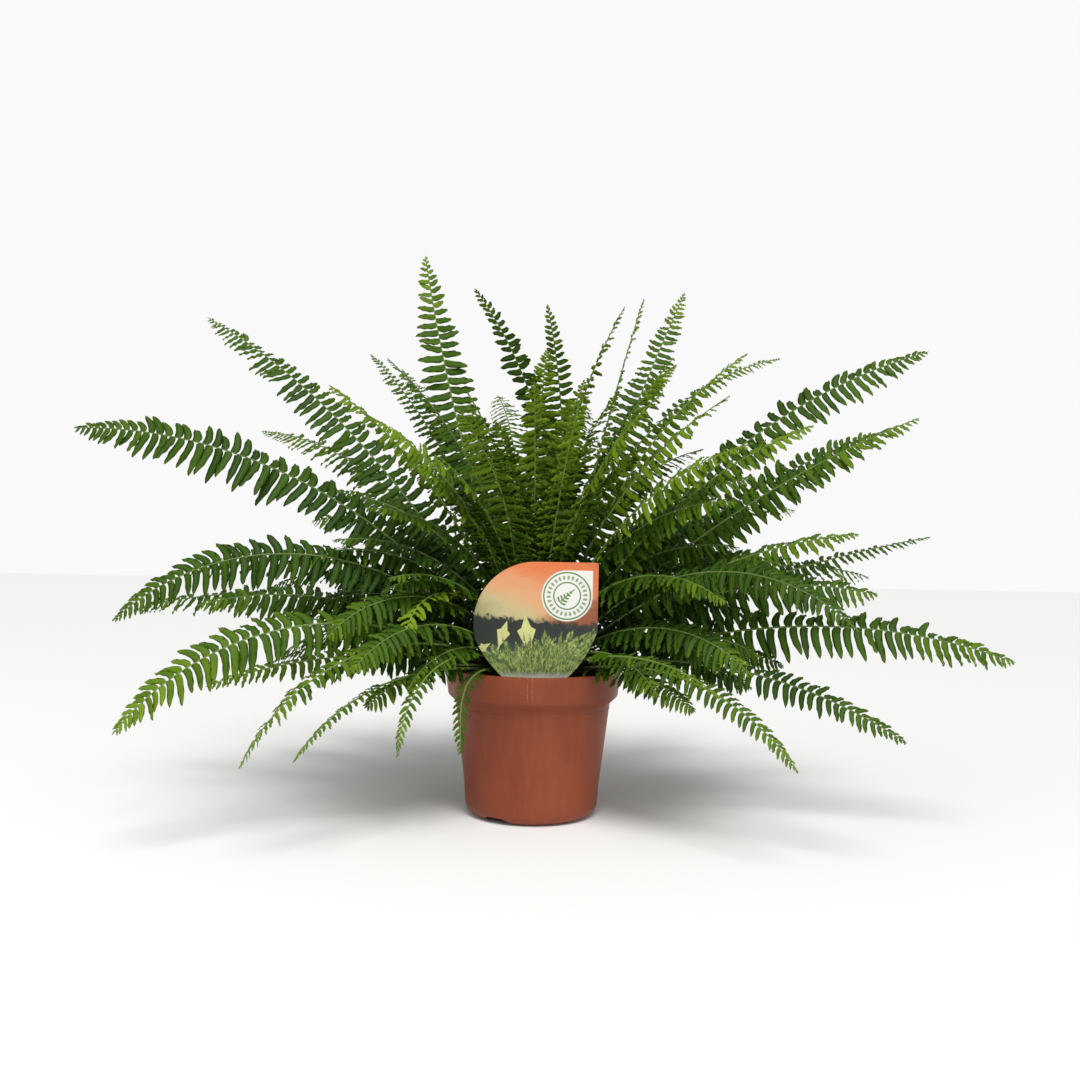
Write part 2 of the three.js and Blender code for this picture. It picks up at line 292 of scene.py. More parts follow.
def makeLeafMaterial():
    material, tree, shader = newMaterial("fern leaf", Roughness=0.46, Specular_IOR_Level=0.12)
    fresh, tone, along, across, under, reach = (
        attribute(tree, name) for name in ("fresh", "tone", "along", "across", "under", "reach"))
    point = objectPoint(tree)
    grain = useGroup(grainGroup, Vector=point, Coarse=45.0, Fine=1400.0, Balance=0.35)
    blotch = remap(grain["Mask"], 0.38, 0.62)

    # ageAndShade runs from old (0) to young (1), a little different on each leaflet and at the frond's tip;
    # it also falls towards the frond's foot, which is painted shade of the plant's heart as well as age
    ageAndShade = fresh + (tone - 0.5) * 0.30
    ageAndShade = ageAndShade + remap(reach, 0.62, 1.0) * 0.34
    # painted shade: leaflets near the frond's foot are darkened towards the old green, standing in for the
    # shade deep in the plant as well as for their age
    ageAndShade = ageAndShade - remap(reach, 0.0, 0.5, 1.0, 0.0) * 0.26
    ageAndShade = calc("ADD", ageAndShade, (blotch - 0.5) * 0.10, clamp=True)
    green = mixColor(remap(ageAndShade, 0.0, 0.5), leafLook["oldAndShadedGreen"], leafLook["matureGreen"])
    green = mixColor(remap(ageAndShade, 0.42, 1.0), green, leafLook["youngGreen"])

    # paler rim and tip on young leaflets
    rim = remap(abs(across), 0.55, 1.0)
    edge = calc("MAXIMUM", rim, remap(along, 0.7, 1.0)) * ageAndShade
    green = mixColor(edge * 0.40, green, leafLook["tipYellow"])

    # midrib and slanting side veins
    rib = remap(abs(across), 0.02, 0.16, 1.0, 0.0)
    slant = along * 52.0 - abs(across) * 7.0
    veins = remap(calc("SINE", slant), 0.55, 1.0)
    green = mixColor(rib * 0.42, green, leafLook["veinGreen"])
    green = mixColor(veins * 0.12, green, leafLook["veinGreen"])
    green = mixColor(under * 0.45, green, leafLook["underGreen"])
    feed(shader.inputs["Base Color"], green)
    feed(shader.inputs["Roughness"], remap(grain["Mask"], 0.3, 0.7, 0.42, 0.58))
    height = veins * 0.35 + rib * -0.8
    height = height + grain["Height"] * 0.25
    bumpInto(shader, height, 0.5, 0.00022)
    return material


def makeStalkMaterial():
    material, tree, shader = newMaterial("fern stalk", Roughness=0.5, Specular_IOR_Level=0.4)
    reach = attribute(tree, "reach")
    fresh = attribute(tree, "fresh")
    point = objectPoint(tree)
    grain = useGroup(grainGroup, Vector=point, Coarse=90.0, Fine=1200.0, Balance=0.5)
    # the stalk's green follows fresh, so the low fronds' stalks carry the painted shade too
    green = mixColor(fresh, leafLook["stalkOld"], leafLook["stalkYoung"])
    brown = mixColor(grain["Mask"], leafLook["footDark"], leafLook["footBrown"])
    foot = remap(reach + grain["Mask"] * 0.10, 0.06, 0.30, 1.0, 0.0)
    feed(shader.inputs["Base Color"], mixColor(foot, green, brown))
    bumpInto(shader, grain["Height"], 0.35, 0.0002)
    return material


leafMaterial = makeLeafMaterial()
stalkMaterial = makeStalkMaterial()


# leaflets
leaflet = {
    "stations": [0.0, 0.05, 0.13, 0.28, 0.46, 0.64, 0.80, 0.92, 1.0],
    "leadHalf": [0.018, 0.132, 0.118, 0.102, 0.098, 0.092, 0.076, 0.046, 0.004],
    "trailHalf": [0.018, 0.056, 0.092, 0.098, 0.096, 0.088, 0.070, 0.042, 0.004],
    "sweep": 0.105,      # how far the tip bends towards the frond's tip
    "wave": 0.032,       # up and down of the margin
    "lobe": 0.10,        # shallow scallops along the margin
    "thickness": 0.011,
    "variants": 4,
    "turn": 0.17, "dip": 0.20, "tilt": 0.12, "rock": 1.2,   # how unlike its neighbours a leaflet stands
    "tipTurn": 0.40,     # how much further forward they point at the frond's tip
    "lengths": (0.87, 1.06), "shortest": 0.0016,
    "widthShare": 1.02, "widthMore": 0.0062,
    "sags": (0.4, 1.6),
}


def leafletMesh(name, hand, seed):
    # closed and one unit long along +X; hand is the side that looks towards the frond's tip
    draw = random.Random(seed)
    phase = [draw.uniform(0, 6.28) for _ in range(3)]
    wave = leaflet["wave"] * draw.uniform(0.5, 1.5)
    cup = draw.uniform(-0.10, 0.22)
    curl = draw.uniform(-0.03, 0.05)
    points, along, across, under = [], [], [], []
    for i, t in enumerate(leaflet["stations"]):
        scallop = 1 + leaflet["lobe"] * math.sin(31 * t + phase[0]) * (0.2 < t < 0.95)
        lead = leaflet["leadHalf"][i] * scallop
        trail = leaflet["trailHalf"][i] * (2 - scallop)
        middle = leaflet["sweep"] * t * t
        thick = leaflet["thickness"] * (1 - 0.6 * t)
        lift = curl * t * t
        up = wave * math.sin(17 * t + phase[1]) * smoothstep(0.05, 0.3, t)
        down = wave * math.sin(19 * t + phase[2]) * smoothstep(0.05, 0.3, t)
        ring = [
            (middle + lead, up + cup * lead, 1.0, 0.0),
            (middle + lead * 0.5, thick + up * 0.4 + cup * lead * 0.3, 0.5, 0.0),
            (middle, thick * 0.45, 0.0, 0.0),
            (middle - trail * 0.5, thick + down * 0.4 + cup * trail * 0.3, -0.5, 0.0),
            (middle - trail, down + cup * trail, -1.0, 0.0),
            (middle, -thick, 0.0, 1.0),
        ]
        for y, z, side, below in ring:
            points.append((t, hand * y, z + lift))
            along.append(t)
            across.append(side)
            under.append(below)
    faces = []
    rings = len(leaflet["stations"])
    for i in range(rings - 1):
        for k in range(6):
            a, b = i * 6 + k, i * 6 + (k + 1) % 6
            quad = (a, a + 6, b + 6, b)
            faces.append(quad[::-1] if hand > 0 else quad)
    base, tip = tuple(range(6)), tuple(range((rings - 1) * 6, rings * 6))
    faces.append(base[::-1] if hand > 0 else base)
    faces.append(tip if hand > 0 else tip[::-1])
    mesh = meshOf(name, points, faces)
    for label, values in (("along", along), ("across", across), ("under", under)):
        mesh.attributes.new(label, "FLOAT", "POINT").data.foreach_set("value", values)
    return mesh


def leafletSet(name, hand):
    return meshSet(name, [leafletMesh(f"{name} {i}", hand, 11 + i) for i in range(leaflet["variants"])])


# frond node tree
def randomIn(tree, low, high, seed, kind="FLOAT"):
    # low, high and the output stand on different sockets for each kind
    first, out = {"FLOAT": (2, 1), "INT": (4, 2), "FLOAT_VECTOR": (0, 0)}[kind]
    inputs = {first: low, first + 1: high, "Seed": seed}
    return result(tree, "FunctionNodeRandomValue", inputs, out, data_type=kind)


def scattered(tree, points, sourceSet, variants, seed, turn, size):
    # one of the set's meshes on every point
    inputs = {"Collection": sourceSet, "Separate Children": True, "Reset Children": True}
    source = result(tree, "GeometryNodeCollectionInfo", inputs, transform_space="ORIGINAL")
    pick = randomIn(tree, 0, variants - 1, seed, "INT")
    return result(tree, "GeometryNodeInstanceOnPoints", {
        "Points": points, "Instance": source, "Pick Instance": True, "Instance Index": pick,
        "Rotation": turn, "Scale": size})


def joined(tree, *geometries):
    node = addNode(tree, "GeometryNodeJoinGeometry")
    for geometry in geometries:
        feed(node.inputs[0], geometry)
    return Field(node.outputs[0])


def painted(tree, geometry, material):
    return result(tree, "GeometryNodeSetMaterial", {"Geometry": geometry, "Material": material})


def realized(tree, geometry):
    return result(tree, "GeometryNodeRealizeInstances", {0: geometry})


def makeFrondTree(leftSet, rightSet):
    tree, given, ends = groupTree(
        "frond along its midrib", "GeometryNodeTree",
        {"Geometry": "NodeSocketGeometry", "Pairs": 44, "First Leaflet": 0.12, "Forward": 0.16, "Dip": 0.10,
         "Sag": 0.22, "Ruffle": 0.2, "Leaflet Width": 1.0, "Crowding": 1.35, "Fresh": 0.3, "Seed": 1},
        {"Geometry": "NodeSocketGeometry"})
    curve = result(tree, "GeometryNodeMeshToCurve", {0: given["Geometry"]})

    def named(label, kind="FLOAT"):
        return result(tree, "GeometryNodeInputNamedAttribute", {"Name": label}, "Attribute", data_type=kind)

    def sampled(factor, label, kind="FLOAT"):
        inputs = {"Curves": curve, "Value": named(label, kind), "Factor": factor}
        return fieldsOf(addNode(tree, "GeometryNodeSampleCurve", inputs, mode="FACTOR", data_type=kind,
                                use_all_curves=True))

    def store(geometry, label, value, domain):
        inputs = {"Geometry": geometry, "Name": label, "Value": value}
        return result(tree, "GeometryNodeStoreNamedAttribute", inputs, data_type="FLOAT", domain=domain)

    def row(sign, group, shift):
        # one side's leaflets, closer together towards the tip and half a step off the other side's
        def vary(low, high, step):
            return randomIn(tree, low, high, given["Seed"] + float(shift + step))

        points = result(tree, "GeometryNodePoints", {"Count": given["Pairs"]})
        step = result(tree, "GeometryNodeInputIndex") + (0.3 if sign > 0 else 0.8)
        share = calc("DIVIDE", step, given["Pairs"] + 0.4, clamp=True)
        packed = 1.0 - (1.0 - share) ** given["Crowding"]
        factor = given["First Leaflet"] + packed * (0.996 - given["First Leaflet"])
        spot = sampled(factor, "half")
        across = sampled(factor, "side", "FLOAT_VECTOR")["Value"]
        ahead = spot["Tangent"]
        face = vectorCalc("NORMALIZE", vectorCalc("CROSS_PRODUCT", ahead, across))
        forward = given["Forward"] + remap(packed, 0.60, 1.0) * leaflet["tipTurn"]
        forward = forward + vary(-leaflet["turn"], leaflet["turn"], 0)
        dip = given["Dip"] + vary(-leaflet["dip"], leaflet["dip"], 1)
        aim = vectorCalc("ADD", scaled(across, float(sign)), scaled(ahead, calc("TANGENT", forward)))
        aim = vectorCalc("ADD", vectorCalc("NORMALIZE", aim), scaled(face, dip * -1.0))
        tilt = given["Ruffle"] * vary(-leaflet["rock"], leaflet["rock"], 2) + leaflet["tilt"]
        upward = vectorCalc("ADD", face, scaled(ahead, tilt))
        turn = result(tree, "FunctionNodeAxesToRotation", {0: aim, 1: upward}, primary_axis="X",
                      secondary_axis="Z")
        length = calc("MAXIMUM", spot["Value"] * vary(*leaflet["lengths"], 3), leaflet["shortest"])
        width = (length * leaflet["widthShare"] + leaflet["widthMore"]) * given["Leaflet Width"]
        place = result(tree, "GeometryNodeSetPosition", {"Geometry": points, "Position": spot["Position"]})
        out = scattered(tree, place, group, leaflet["variants"], given["Seed"] + float(shift + 4), turn,
                        combined(tree, length, width, width))
        out = store(out, "tone", vary(0.0, 1.0, 5), "INSTANCE")
        out = store(out, "reach", packed, "INSTANCE")
        return store(out, "drop", length * given["Sag"] * vary(*leaflet["sags"], 6), "INSTANCE")

    real = realized(tree, joined(tree, row(1, rightSet, 100), row(-1, leftSet, 200)))

    # every leaflet hangs a little under its own weight
    fall = combined(tree, z=named("drop") * named("along") ** 1.8 * -1.0)
    hang = result(tree, "GeometryNodeSetPosition", {"Geometry": real, "Offset": fall})
    leaves = painted(tree, hang, leafMaterial)

    # the stalk and midrib: one tapering tube
    even = result(tree, "GeometryNodeResampleCurve", {"Curve": curve, "Count": 56})
    ring = result(tree, "GeometryNodeCurvePrimitiveCircle", {"Resolution": 7, "Radius": 1.0})
    tube = result(tree, "GeometryNodeCurveToMesh", {
        "Curve": even, "Profile Curve": ring, "Fill Caps": True, "Scale": named("stalk")})
    whole = joined(tree, painted(tree, tube, stalkMaterial), leaves)
    soft = result(tree, "GeometryNodeSetShadeSmooth", {"Geometry": whole})
    feed(ends[0], store(soft, "fresh", given["Fresh"], "POINT"))
    return tree


leftSet = leafletSet("leaflet left", 1)
rightSet = leafletSet("leaflet right", -1)
frondTree = makeFrondTree(leftSet, rightSet)
frondInputs = inputIds(frondTree)


# midribs out of the frame
crownLow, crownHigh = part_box("crown")


def ringsOf(node):
    # the blade's rings of four corners, from the crown outwards
    mesh = frame["nodes"][node].data
    places, keyOf = [], {}
    cornerOf = []
    for vertex in mesh.vertices:
        key = tuple(round(c, 6) for c in vertex.co)
        if key not in keyOf:
            keyOf[key] = len(places)
            places.append(vertex.co.copy())
        cornerOf.append(keyOf[key])
    near = [set() for _ in places]
    for face in mesh.polygons:
        corners = [cornerOf[v] for v in face.vertices]
        for i, a in enumerate(corners):
            b = corners[(i + 1) % len(corners)]
            if a != b:
                near[a].add(b)
                near[b].add(a)
    middle = (Vector(crownLow) + Vector(crownHigh)) / 2
    order = sorted(range(len(places)), key=lambda i: (places[i] - middle).length)
    layer = set(order[:4])
    seen, rings = set(layer), []
    while layer:
        rings.append([places[i] for i in layer])
        following = {n for i in layer for n in near[i]} - seen
        seen |= following
        layer = following
    return rings


def midribOf(node):
    # point, side, half width at each ring
    rings = [r for r in ringsOf(node) if len(r) == 4]
    mids = [sum(r, Vector()) / 4 for r in rings]
    sides, halves = [None] * len(rings), [0.0] * len(rings)
    diagonals = []
    for middle, (corner, *others) in zip(mids, rings):
        inward = (middle - corner).normalized()
        facing = [p for p in others if (p - corner).normalized().dot(inward) > 0.9]
        far = max(facing or others[:1], key=lambda p: (p - corner).length)
        two = [p for p in others if p is not far]
        diagonals.append(((far - corner) / 2, (two[1] - two[0]) / 2))
    widest = max(range(len(rings)), key=lambda i: max(d.length for d in diagonals[i]))
    one, two = diagonals[widest]
    first = one if one.length > two.length else two
    for steps in (range(widest, len(rings)), range(widest, -1, -1)):
        last = first.normalized()
        for i in steps:
            one, two = diagonals[i]
            pick = max((one, -one, two, -two), key=lambda v: v.normalized().dot(last))
            last = pick.normalized()
            sides[i], halves[i] = last, pick.length
    # every frond's sides point the same way round the pot
    radial = Vector((mids[0].x, mids[0].y, 0)).normalized()
    level = Vector((-radial.y, radial.x, 0))
    if sides[0].dot(level) < 0:
        sides = [-s for s in sides]
    return mids, sides, halves


def smoothPath(points, count):
    # a Catmull-Rom line through the points, as evenly spaced places along it
    def at(values, i, t):
        p0 = values[max(i - 1, 0)]
        p1, p2 = values[i], values[i + 1]
        p3 = values[min(i + 2, len(values) - 1)]
        return 0.5 * ((2 * p1) + (p2 - p0) * t + (2 * p0 - 5 * p1 + 4 * p2 - p3) * t * t
                      + (3 * p1 - p0 - 3 * p2 + p3) * t * t * t)

    rows = []
    for k in range(count + 1):
        place = k / count * (len(points[0]) - 1)
        i = min(int(place), len(points[0]) - 2)
        rows.append([at(values, i, place - i) for values in points])
    return rows


frondLook = {
    "pathSteps": 72,
    "leafletSpacing": 9.6 * mm,   # on a wide frond, near its foot
    "coreSpacing": 7.4 * mm,
    "leafletWidth": 1.14,         # against the leaflet drawn above
    "stalkFoot": 1.25 * mm,       # radius
    "stalkTip": 0.30 * mm,
    "bareMargin": 1.7,            # the blade opens where it is this many stalks wide
    "twist": 0.42,                # how far a lively frond's blade rocks about its midrib, in radians
    "leafShare": 0.62,            # leaflets start at this share of the way to there
    "crowding": 1.30,             # how much closer the leaflets stand at the tip
    "forward": 0.12, "dip": 0.08, "sag": 0.26,
    "coreRuffle": 0.3,
}
# how fresh each whorl's green is, with the fronds that stand out from it
whorlFresh = {"outer": 0.26, "middle": 0.22, "inner": 0.36}
frondFresh = {
    "outer_frond_09": 0.52, "outer_frond_10": 0.58, "outer_frond_12": 0.55, "outer_frond_13": 0.30,
    "outer_frond_08": 0.50, "outer_frond_14": 0.55, "outer_frond_11": 0.50, "outer_frond_15": 0.45,
    "middle_frond_08": 0.62, "middle_frond_07": 0.45, "middle_frond_10": 0.92, "middle_frond_06": 0.42,
    "middle_frond_15": 0.48, "middle_frond_14": 0.30, "inner_frond_01": 0.66, "inner_frond_11": 0.55,
    "inner_frond_12": 0.66, "inner_frond_16": 0.84, "inner_frond_17": 0.76, "inner_frond_18": 0.76,
    "inner_frond_19": 0.70, "inner_frond_14": 0.72, "inner_frond_15": 0.76, "inner_frond_13": 0.62,
}


# how far the leaflets stay clear of the pot's rim and the label card
potLow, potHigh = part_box("nursery_pot")
cardLow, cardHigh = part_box("plant_label")
keepClear = {
    "rimInside": 3.5 * mm, "rimOutside": 0.8 * mm, "rimAbove": 0.3 * mm, "rimBand": 24 * mm,
    "cardSide": 2.0 * mm, "cardEdge": 1.0 * mm,
    "leafletPoints": 60,          # a loose part with fewer points than this is a leaflet
}


def thinOut(mesh):
    # takes away the leaflets that would cut through the rim or the card
    flat = np.empty(len(mesh.vertices) * 3, dtype=np.float32)
    mesh.vertices.foreach_get("co", flat)
    x, y, z = flat.reshape(-1, 3).T
    rimRadius, rimTop = (potHigh[0] - potLow[0]) / 2, potHigh[2]
    away = np.hypot(x, y)
    atRim = (away > rimRadius - keepClear["rimInside"]) & (away < rimRadius + keepClear["rimOutside"])
    atRim &= (z < rimTop + keepClear["rimAbove"]) & (z > rimTop - keepClear["rimBand"])
    half = (cardHigh[0] - cardLow[0]) / 2
    across, above = x - (cardHigh[0] - half), z - (cardHigh[2] - half)
    reach = half + keepClear["cardEdge"]
    inCorner = (across > 0) & (above > 0) & (across < reach) & (above < reach)
    atCard = (np.hypot(across, above) < reach) | inCorner
    atCard &= np.abs(y - (cardLow[1] + cardHigh[1]) / 2) < keepClear["cardSide"]
    hits = np.flatnonzero(atRim | atCard)
    if not len(hits):
        return
    work = bmesh.new()
    work.from_mesh(mesh)
    work.verts.ensure_lookup_table()
    gone, looked = [], set()
    for hit in hits:
        if hit in looked:
            continue
        island, queue = [], [work.verts[hit]]
        looked.add(int(hit))
        while queue:
            vertex = queue.pop()
            island.append(vertex)
            for edge in vertex.link_edges:
                other = edge.other_vert(vertex)
                if other.index not in looked:
                    looked.add(other.index)
                    queue.append(other)
        if len(island) < keepClear["leafletPoints"]:
            gone += island
    bmesh.ops.delete(work, geom=gone, context="VERTS")
    work.to_mesh(mesh)
    work.free()


def frondMesh(name, mids, sides, halves, fresh, seed, ruffle, spacing, widthShare):
    rows = smoothPath([mids, sides, halves], frondLook["pathSteps"])
    path = [r[0] for r in rows]
    draw = random.Random(seed)
    swing = frondLook["twist"] * (0.4 + 2.2 * ruffle) * draw.uniform(0.6, 1.3)
    phase = draw.uniform(0, math.tau)
    for k, row in enumerate(rows):
        share = k / (len(rows) - 1)
        ahead = (path[min(k + 1, len(path) - 1)] - path[max(k - 1, 0)]).normalized()
        row[1] = Matrix.Rotation(swing * share * math.sin(7.5 * share + phase), 3, ahead) @ row[1]
    total = sum((b - a).length for a, b in zip(path, path[1:]))
    done, reach = 0.0, [0.0]
    for a, b in zip(path, path[1:]):
        done += (b - a).length
        reach.append(done / total)
    line = bpy.data.meshes.new(name + " midrib")
    line.from_pydata([tuple(p) for p in path], [(i, i + 1) for i in range(len(path) - 1)], [])
    foot, tip = frondLook["stalkFoot"], frondLook["stalkTip"]
    stalk = [foot + (tip - foot) * r ** 0.8 for r in reach]
    widest = max(r[2] for r in rows)
    bare = next((r for r, h in zip(reach, rows) if h[2] > frondLook["bareMargin"] * foot), 0.1)
    begin = frondLook["leafShare"] * bare

    def outlineAt(share):
        opening = smoothstep(begin - 0.06, begin + 0.22, share)
        return widest * 0.96 * opening * (1 - share ** 6) ** 0.72

    halfWidths = [max(0.0, row[2], outlineAt(share)) for share, row in zip(reach, rows)]
    line.attributes.new("side", "FLOAT_VECTOR", "POINT").data.foreach_set(
        "vector", [c for r in rows for c in r[1].normalized()])
    for label, values in (("half", halfWidths), ("stalk", stalk), ("reach", reach)):
        line.attributes.new(label, "FLOAT", "POINT").data.foreach_set("value", values)
    crowding = frondLook["crowding"]
    step = spacing * (0.62 + 0.38 * min(1.0, widest / (24 * mm)))
    pairs = max(10, int(crowding * total * (1 - begin) / step))
    source = newObject(name + " midrib", line)
    modifier = source.modifiers.new("frond", "NODES")
    modifier.node_group = frondTree
    values = {
        "Pairs": pairs, "First Leaflet": begin, "Forward": frondLook["forward"], "Dip": frondLook["dip"],
        "Sag": frondLook["sag"], "Ruffle": ruffle, "Leaflet Width": widthShare, "Crowding": crowding,
        "Fresh": fresh, "Seed": seed,
    }
    for label, value in values.items():
        modifier[frondInputs[label]] = value
    made = evaluatedMesh(source)
    made.name = name
    thinOut(made)
    bpy.data.objects.remove(source)
    bpy.data.meshes.remove(line)
    return made


def archOf(azimuth, rise, droop, swing, roll, length, width, foot, steps=14):
    # the same bend as the framed fronds have: droop and swing gather towards the tip
    turn = math.radians(azimuth)
    point = Vector((foot[0] * mm * math.cos(turn), foot[0] * mm * math.sin(turn), foot[1] * mm))
    mids, sides, halves = [], [], []
    fine = 12
    for i in range(steps * fine + 1):
        u = i / (steps * fine)
        theta = math.radians(rise - droop * u ** 1.35)
        phi = math.radians(azimuth + swing * u ** 1.6)
        lean = math.radians(roll) * smoothstep(0, 0.4, u)
        along = Vector((math.cos(theta) * math.cos(phi), math.cos(theta) * math.sin(phi), math.sin(theta)))
        level = Vector((-math.sin(phi), math.cos(phi), 0))
        upward = along.cross(level)
        if i % fine == 0:
            mids.append(point.copy())
            sides.append(level * math.cos(lean) + upward * math.sin(lean))
            opening = smoothstep(0.10, 0.34, u)
            halves.append(max(1.2 * mm, width / 2 * mm * opening * (1 - u ** 4.6) ** 0.75))
        point = point + along * (length * mm / (steps * fine))
    return mids, sides, halves


slotOf = {s["node"]: s["material_slot"] for s in frame["record"]["subparts"]}
frondNodes = sorted(n for n in frame["nodes"] if "_frond_" in n)
for count, node in enumerate(frondNodes):
    mids, sides, halves = midribOf(node)
    whorl = node.split("_")[0]
    fresh = frondFresh.get(node, whorlFresh[whorl] + 0.08 * math.sin(2.3 * count))
    ruffle = 0.14 + 0.34 * smoothstep(0.40, 0.70, fresh)
    leafy = frondMesh(node, mids, sides, halves, fresh, 31 * count + 5, ruffle,
                      frondLook["leafletSpacing"], frondLook["leafletWidth"])
    piece = newObject(node.replace("frond", "leafy_frond"), leafy)
    finishPiece(piece, slotOf[node], node)
say(f"{len(frondNodes)} fronds")

# short fronds that fill the heart of the plant: azimuth, rise, droop, swing, roll, length, width, fresh; the
# low fronds get small values, a darker green that paints the shade in the plant's heart
coreFronds = [
    (12, 62, 70, 10, 30, 210, 40, 0.20), (30, 74, 60, -12, 20, 235, 40, 0.24),
    (52, 58, 74, 8, 0, 220, 42, 0.18), (84, 66, 70, -8, 0, 230, 42, 0.18),
    (112, 60, 76, 8, 0, 220, 42, 0.18), (136, 70, 62, -10, -20, 240, 40, 0.22),
    (158, 58, 70, 6, -30, 230, 42, 0.20), (178, 66, 66, -8, -40, 215, 40, 0.26),
    (196, 56, 84, 8, -35, 215, 42, 0.24), (208, 70, 74, 10, -25, 190, 38, 0.36),
    (218, 48, 96, -6, -25, 185, 40, 0.30), (236, 74, 44, -14, -10, 185, 36, 0.52),
    (250, 84, 32, -20, 0, 190, 36, 0.60), (262, 80, 26, -30, 0, 160, 34, 0.56),
    (278, 82, 26, 30, 0, 175, 36, 0.62), (292, 78, 30, 24, 10, 185, 36, 0.56),
    (304, 76, 46, 20, 15, 195, 38, 0.60), (316, 56, 92, 6, 25, 190, 40, 0.34),
    (328, 66, 70, -6, 35, 215, 40, 0.40), (340, 54, 84, 6, 45, 215, 42, 0.26),
    (352, 68, 64, -8, 40, 225, 40, 0.30), (4, 50, 70, 4, 45, 220, 42, 0.20),
    (170, 44, 72, -4, -40, 225, 42, 0.16), (24, 44, 70, 0, 35, 220, 42, 0.16),
    (226, 36, 82, 4, -20, 175, 38, 0.34), (322, 34, 76, -4, 30, 185, 38, 0.30),
    (300, 82, 44, 8, 5, 225, 36, 0.60), (240, 82, 40, -6, -5, 220, 36, 0.46),
    (190, 80, 40, 4, -30, 260, 38, 0.30), (350, 82, 40, -4, 30, 255, 38, 0.40),
    (196, 30, 60, 4, -20, 165, 38, 0.16), (205, 18, 46, -4, -30, 150, 36, 0.22),
    (213, 34, 76, 3, -15, 150, 36, 0.26), (220, 14, 52, 3, -20, 135, 34, 0.34),
    (228, 30, 84, 0, -10, 120, 32, 0.44), (311, 28, 80, 0, 10, 120, 32, 0.42),
    (317, 14, 50, -3, 20, 135, 34, 0.36), (325, 34, 76, 3, 15, 150, 36, 0.28),
    (333, 18, 46, 4, 30, 155, 36, 0.22), (342, 30, 60, -4, 25, 165, 38, 0.16),
    (8, 24, 52, 0, 20, 160, 38, 0.12), (34, 32, 66, 0, 10, 160, 38, 0.14),
    (60, 24, 62, 0, 0, 160, 38, 0.12), (88, 34, 70, 0, 0, 160, 38, 0.14),
    (114, 24, 62, 0, 0, 160, 38, 0.12), (140, 34, 66, 0, -10, 160, 38, 0.14),
    (160, 22, 54, 0, -20, 160, 38, 0.12), (182, 34, 60, 0, -25, 165, 38, 0.16),
    (216, 58, 84, 8, -10, 150, 34, 0.24), (322, 60, 84, -8, 10, 150, 34, 0.24),
    (224, 56, 70, -4, -15, 150, 34, 0.34), (316, 56, 70, 4, 15, 150, 34, 0.34),
    (205, 60, 70, -6, -20, 185, 36, 0.22), (336, 60, 70, 6, 20, 185, 36, 0.22),
    (44, 46, 66, 4, 20, 185, 42, 0.10), (72, 44, 70, -4, 0, 185, 42, 0.12),
    (100, 46, 70, 4, 0, 185, 42, 0.10), (128, 44, 68, -4, -10, 185, 42, 0.12),
    (150, 46, 66, 4, -20, 185, 42, 0.10), (186, 22, 48, 3, -25, 175, 40, 0.10),
    (194, 44, 70, -3, -25, 170, 40, 0.12), (346, 44, 70, 3, 25, 170, 40, 0.12),
    (354, 22, 48, -3, 25, 175, 40, 0.10), (18, 20, 46, 0, 20, 175, 40, 0.10),
    (166, 34, 58, 0, -25, 175, 40, 0.10), (14, 36, 58, 0, 25, 175, 40, 0.10),
    (268, 85, 26, 14, 25, 240, 40, 0.84), (286, 80, 30, 12, -25, 225, 38, 0.80),
    (302, 73, 40, 16, 25, 240, 40, 0.76), (224, 70, 48, -10, -25, 240, 40, 0.70),
    (320, 64, 50, 10, 30, 245, 40, 0.74), (246, 76, 40, -12, 20, 215, 38, 0.66),
]
wide, tall = (crownHigh[0] - crownLow[0]) / 2 / mm, (crownHigh[2] - crownLow[2]) / mm
for count, (azimuth, rise, droop, swing, roll, length, width, fresh) in enumerate(coreFronds):
    up = math.radians(rise)
    foot = (wide * 0.9 * math.cos(up), crownLow[2] / mm + tall * 0.92 * math.sin(up))
    mids, sides, halves = archOf(azimuth, rise, droop, swing, roll, length, width, foot)
    name = f"core_frond_{count + 1:02d}"
    ruffle = frondLook["coreRuffle"] * (1 + smoothstep(0.5, 0.8, fresh))
    leafy = frondMesh(name, mids, sides, halves, fresh, 4001 + 17 * count, ruffle,
                      frondLook["coreSpacing"], 1.0)
    piece = newObject(name, leafy)
    finishPiece(piece, "leaf_young" if fresh > 0.35 else "leaf_mature")
say(f"{len(coreFronds)} core fronds")


# pot
potLook = {
    "lipBand": 21.0, "bandDraft": 2.8, "shoulderDrop": 5.5, "shoulderStep": 6.0,
    "footRadius": 51.8, "footFillet": 10.0, "wall": 1.3, "lipWall": 1.9, "ringWidth": 6.0,
    "baseLift": 3.5, "baseBevel": 2.5, "holeRadius": 4.0, "holeCircle": 25.0, "holes": 8,
    "notches": (237, 57), "notchWidth": 27.0, "notchHeight": 4.5, "notchDepth": 18.2, "turns": 144,
    "clay": (0.240, 0.049, 0.0155, 1), "clayDark": (0.190, 0.037, 0.012, 1), "dust": (0.38, 0.145, 0.075, 1),
    "footDarkening": (0.09, 0.035, 0.02, 1), "bead": 0.22, "beadDrop": 5.2, "rubMarks": (-0.0040, -0.0005),
}


def roundedLine(points, radii, steps=5):
    # a line of (radius, height) points with each corner eased by its own reach
    line = []
    for i, point in enumerate(points):
        reach = radii[i]
        if reach <= 0 or i in (0, len(points) - 1):
            line.append(point)
            continue
        here, before, after = Vector(point), Vector(points[i - 1]), Vector(points[i + 1])
        start = here + (before - here).normalized() * reach
        stop = here + (after - here).normalized() * reach
        for k in range(steps + 1):
            t = k / steps
            spot = start * (1 - t) ** 2 + here * 2 * t * (1 - t) + stop * t * t
            line.append((spot.x, spot.y))
    return line


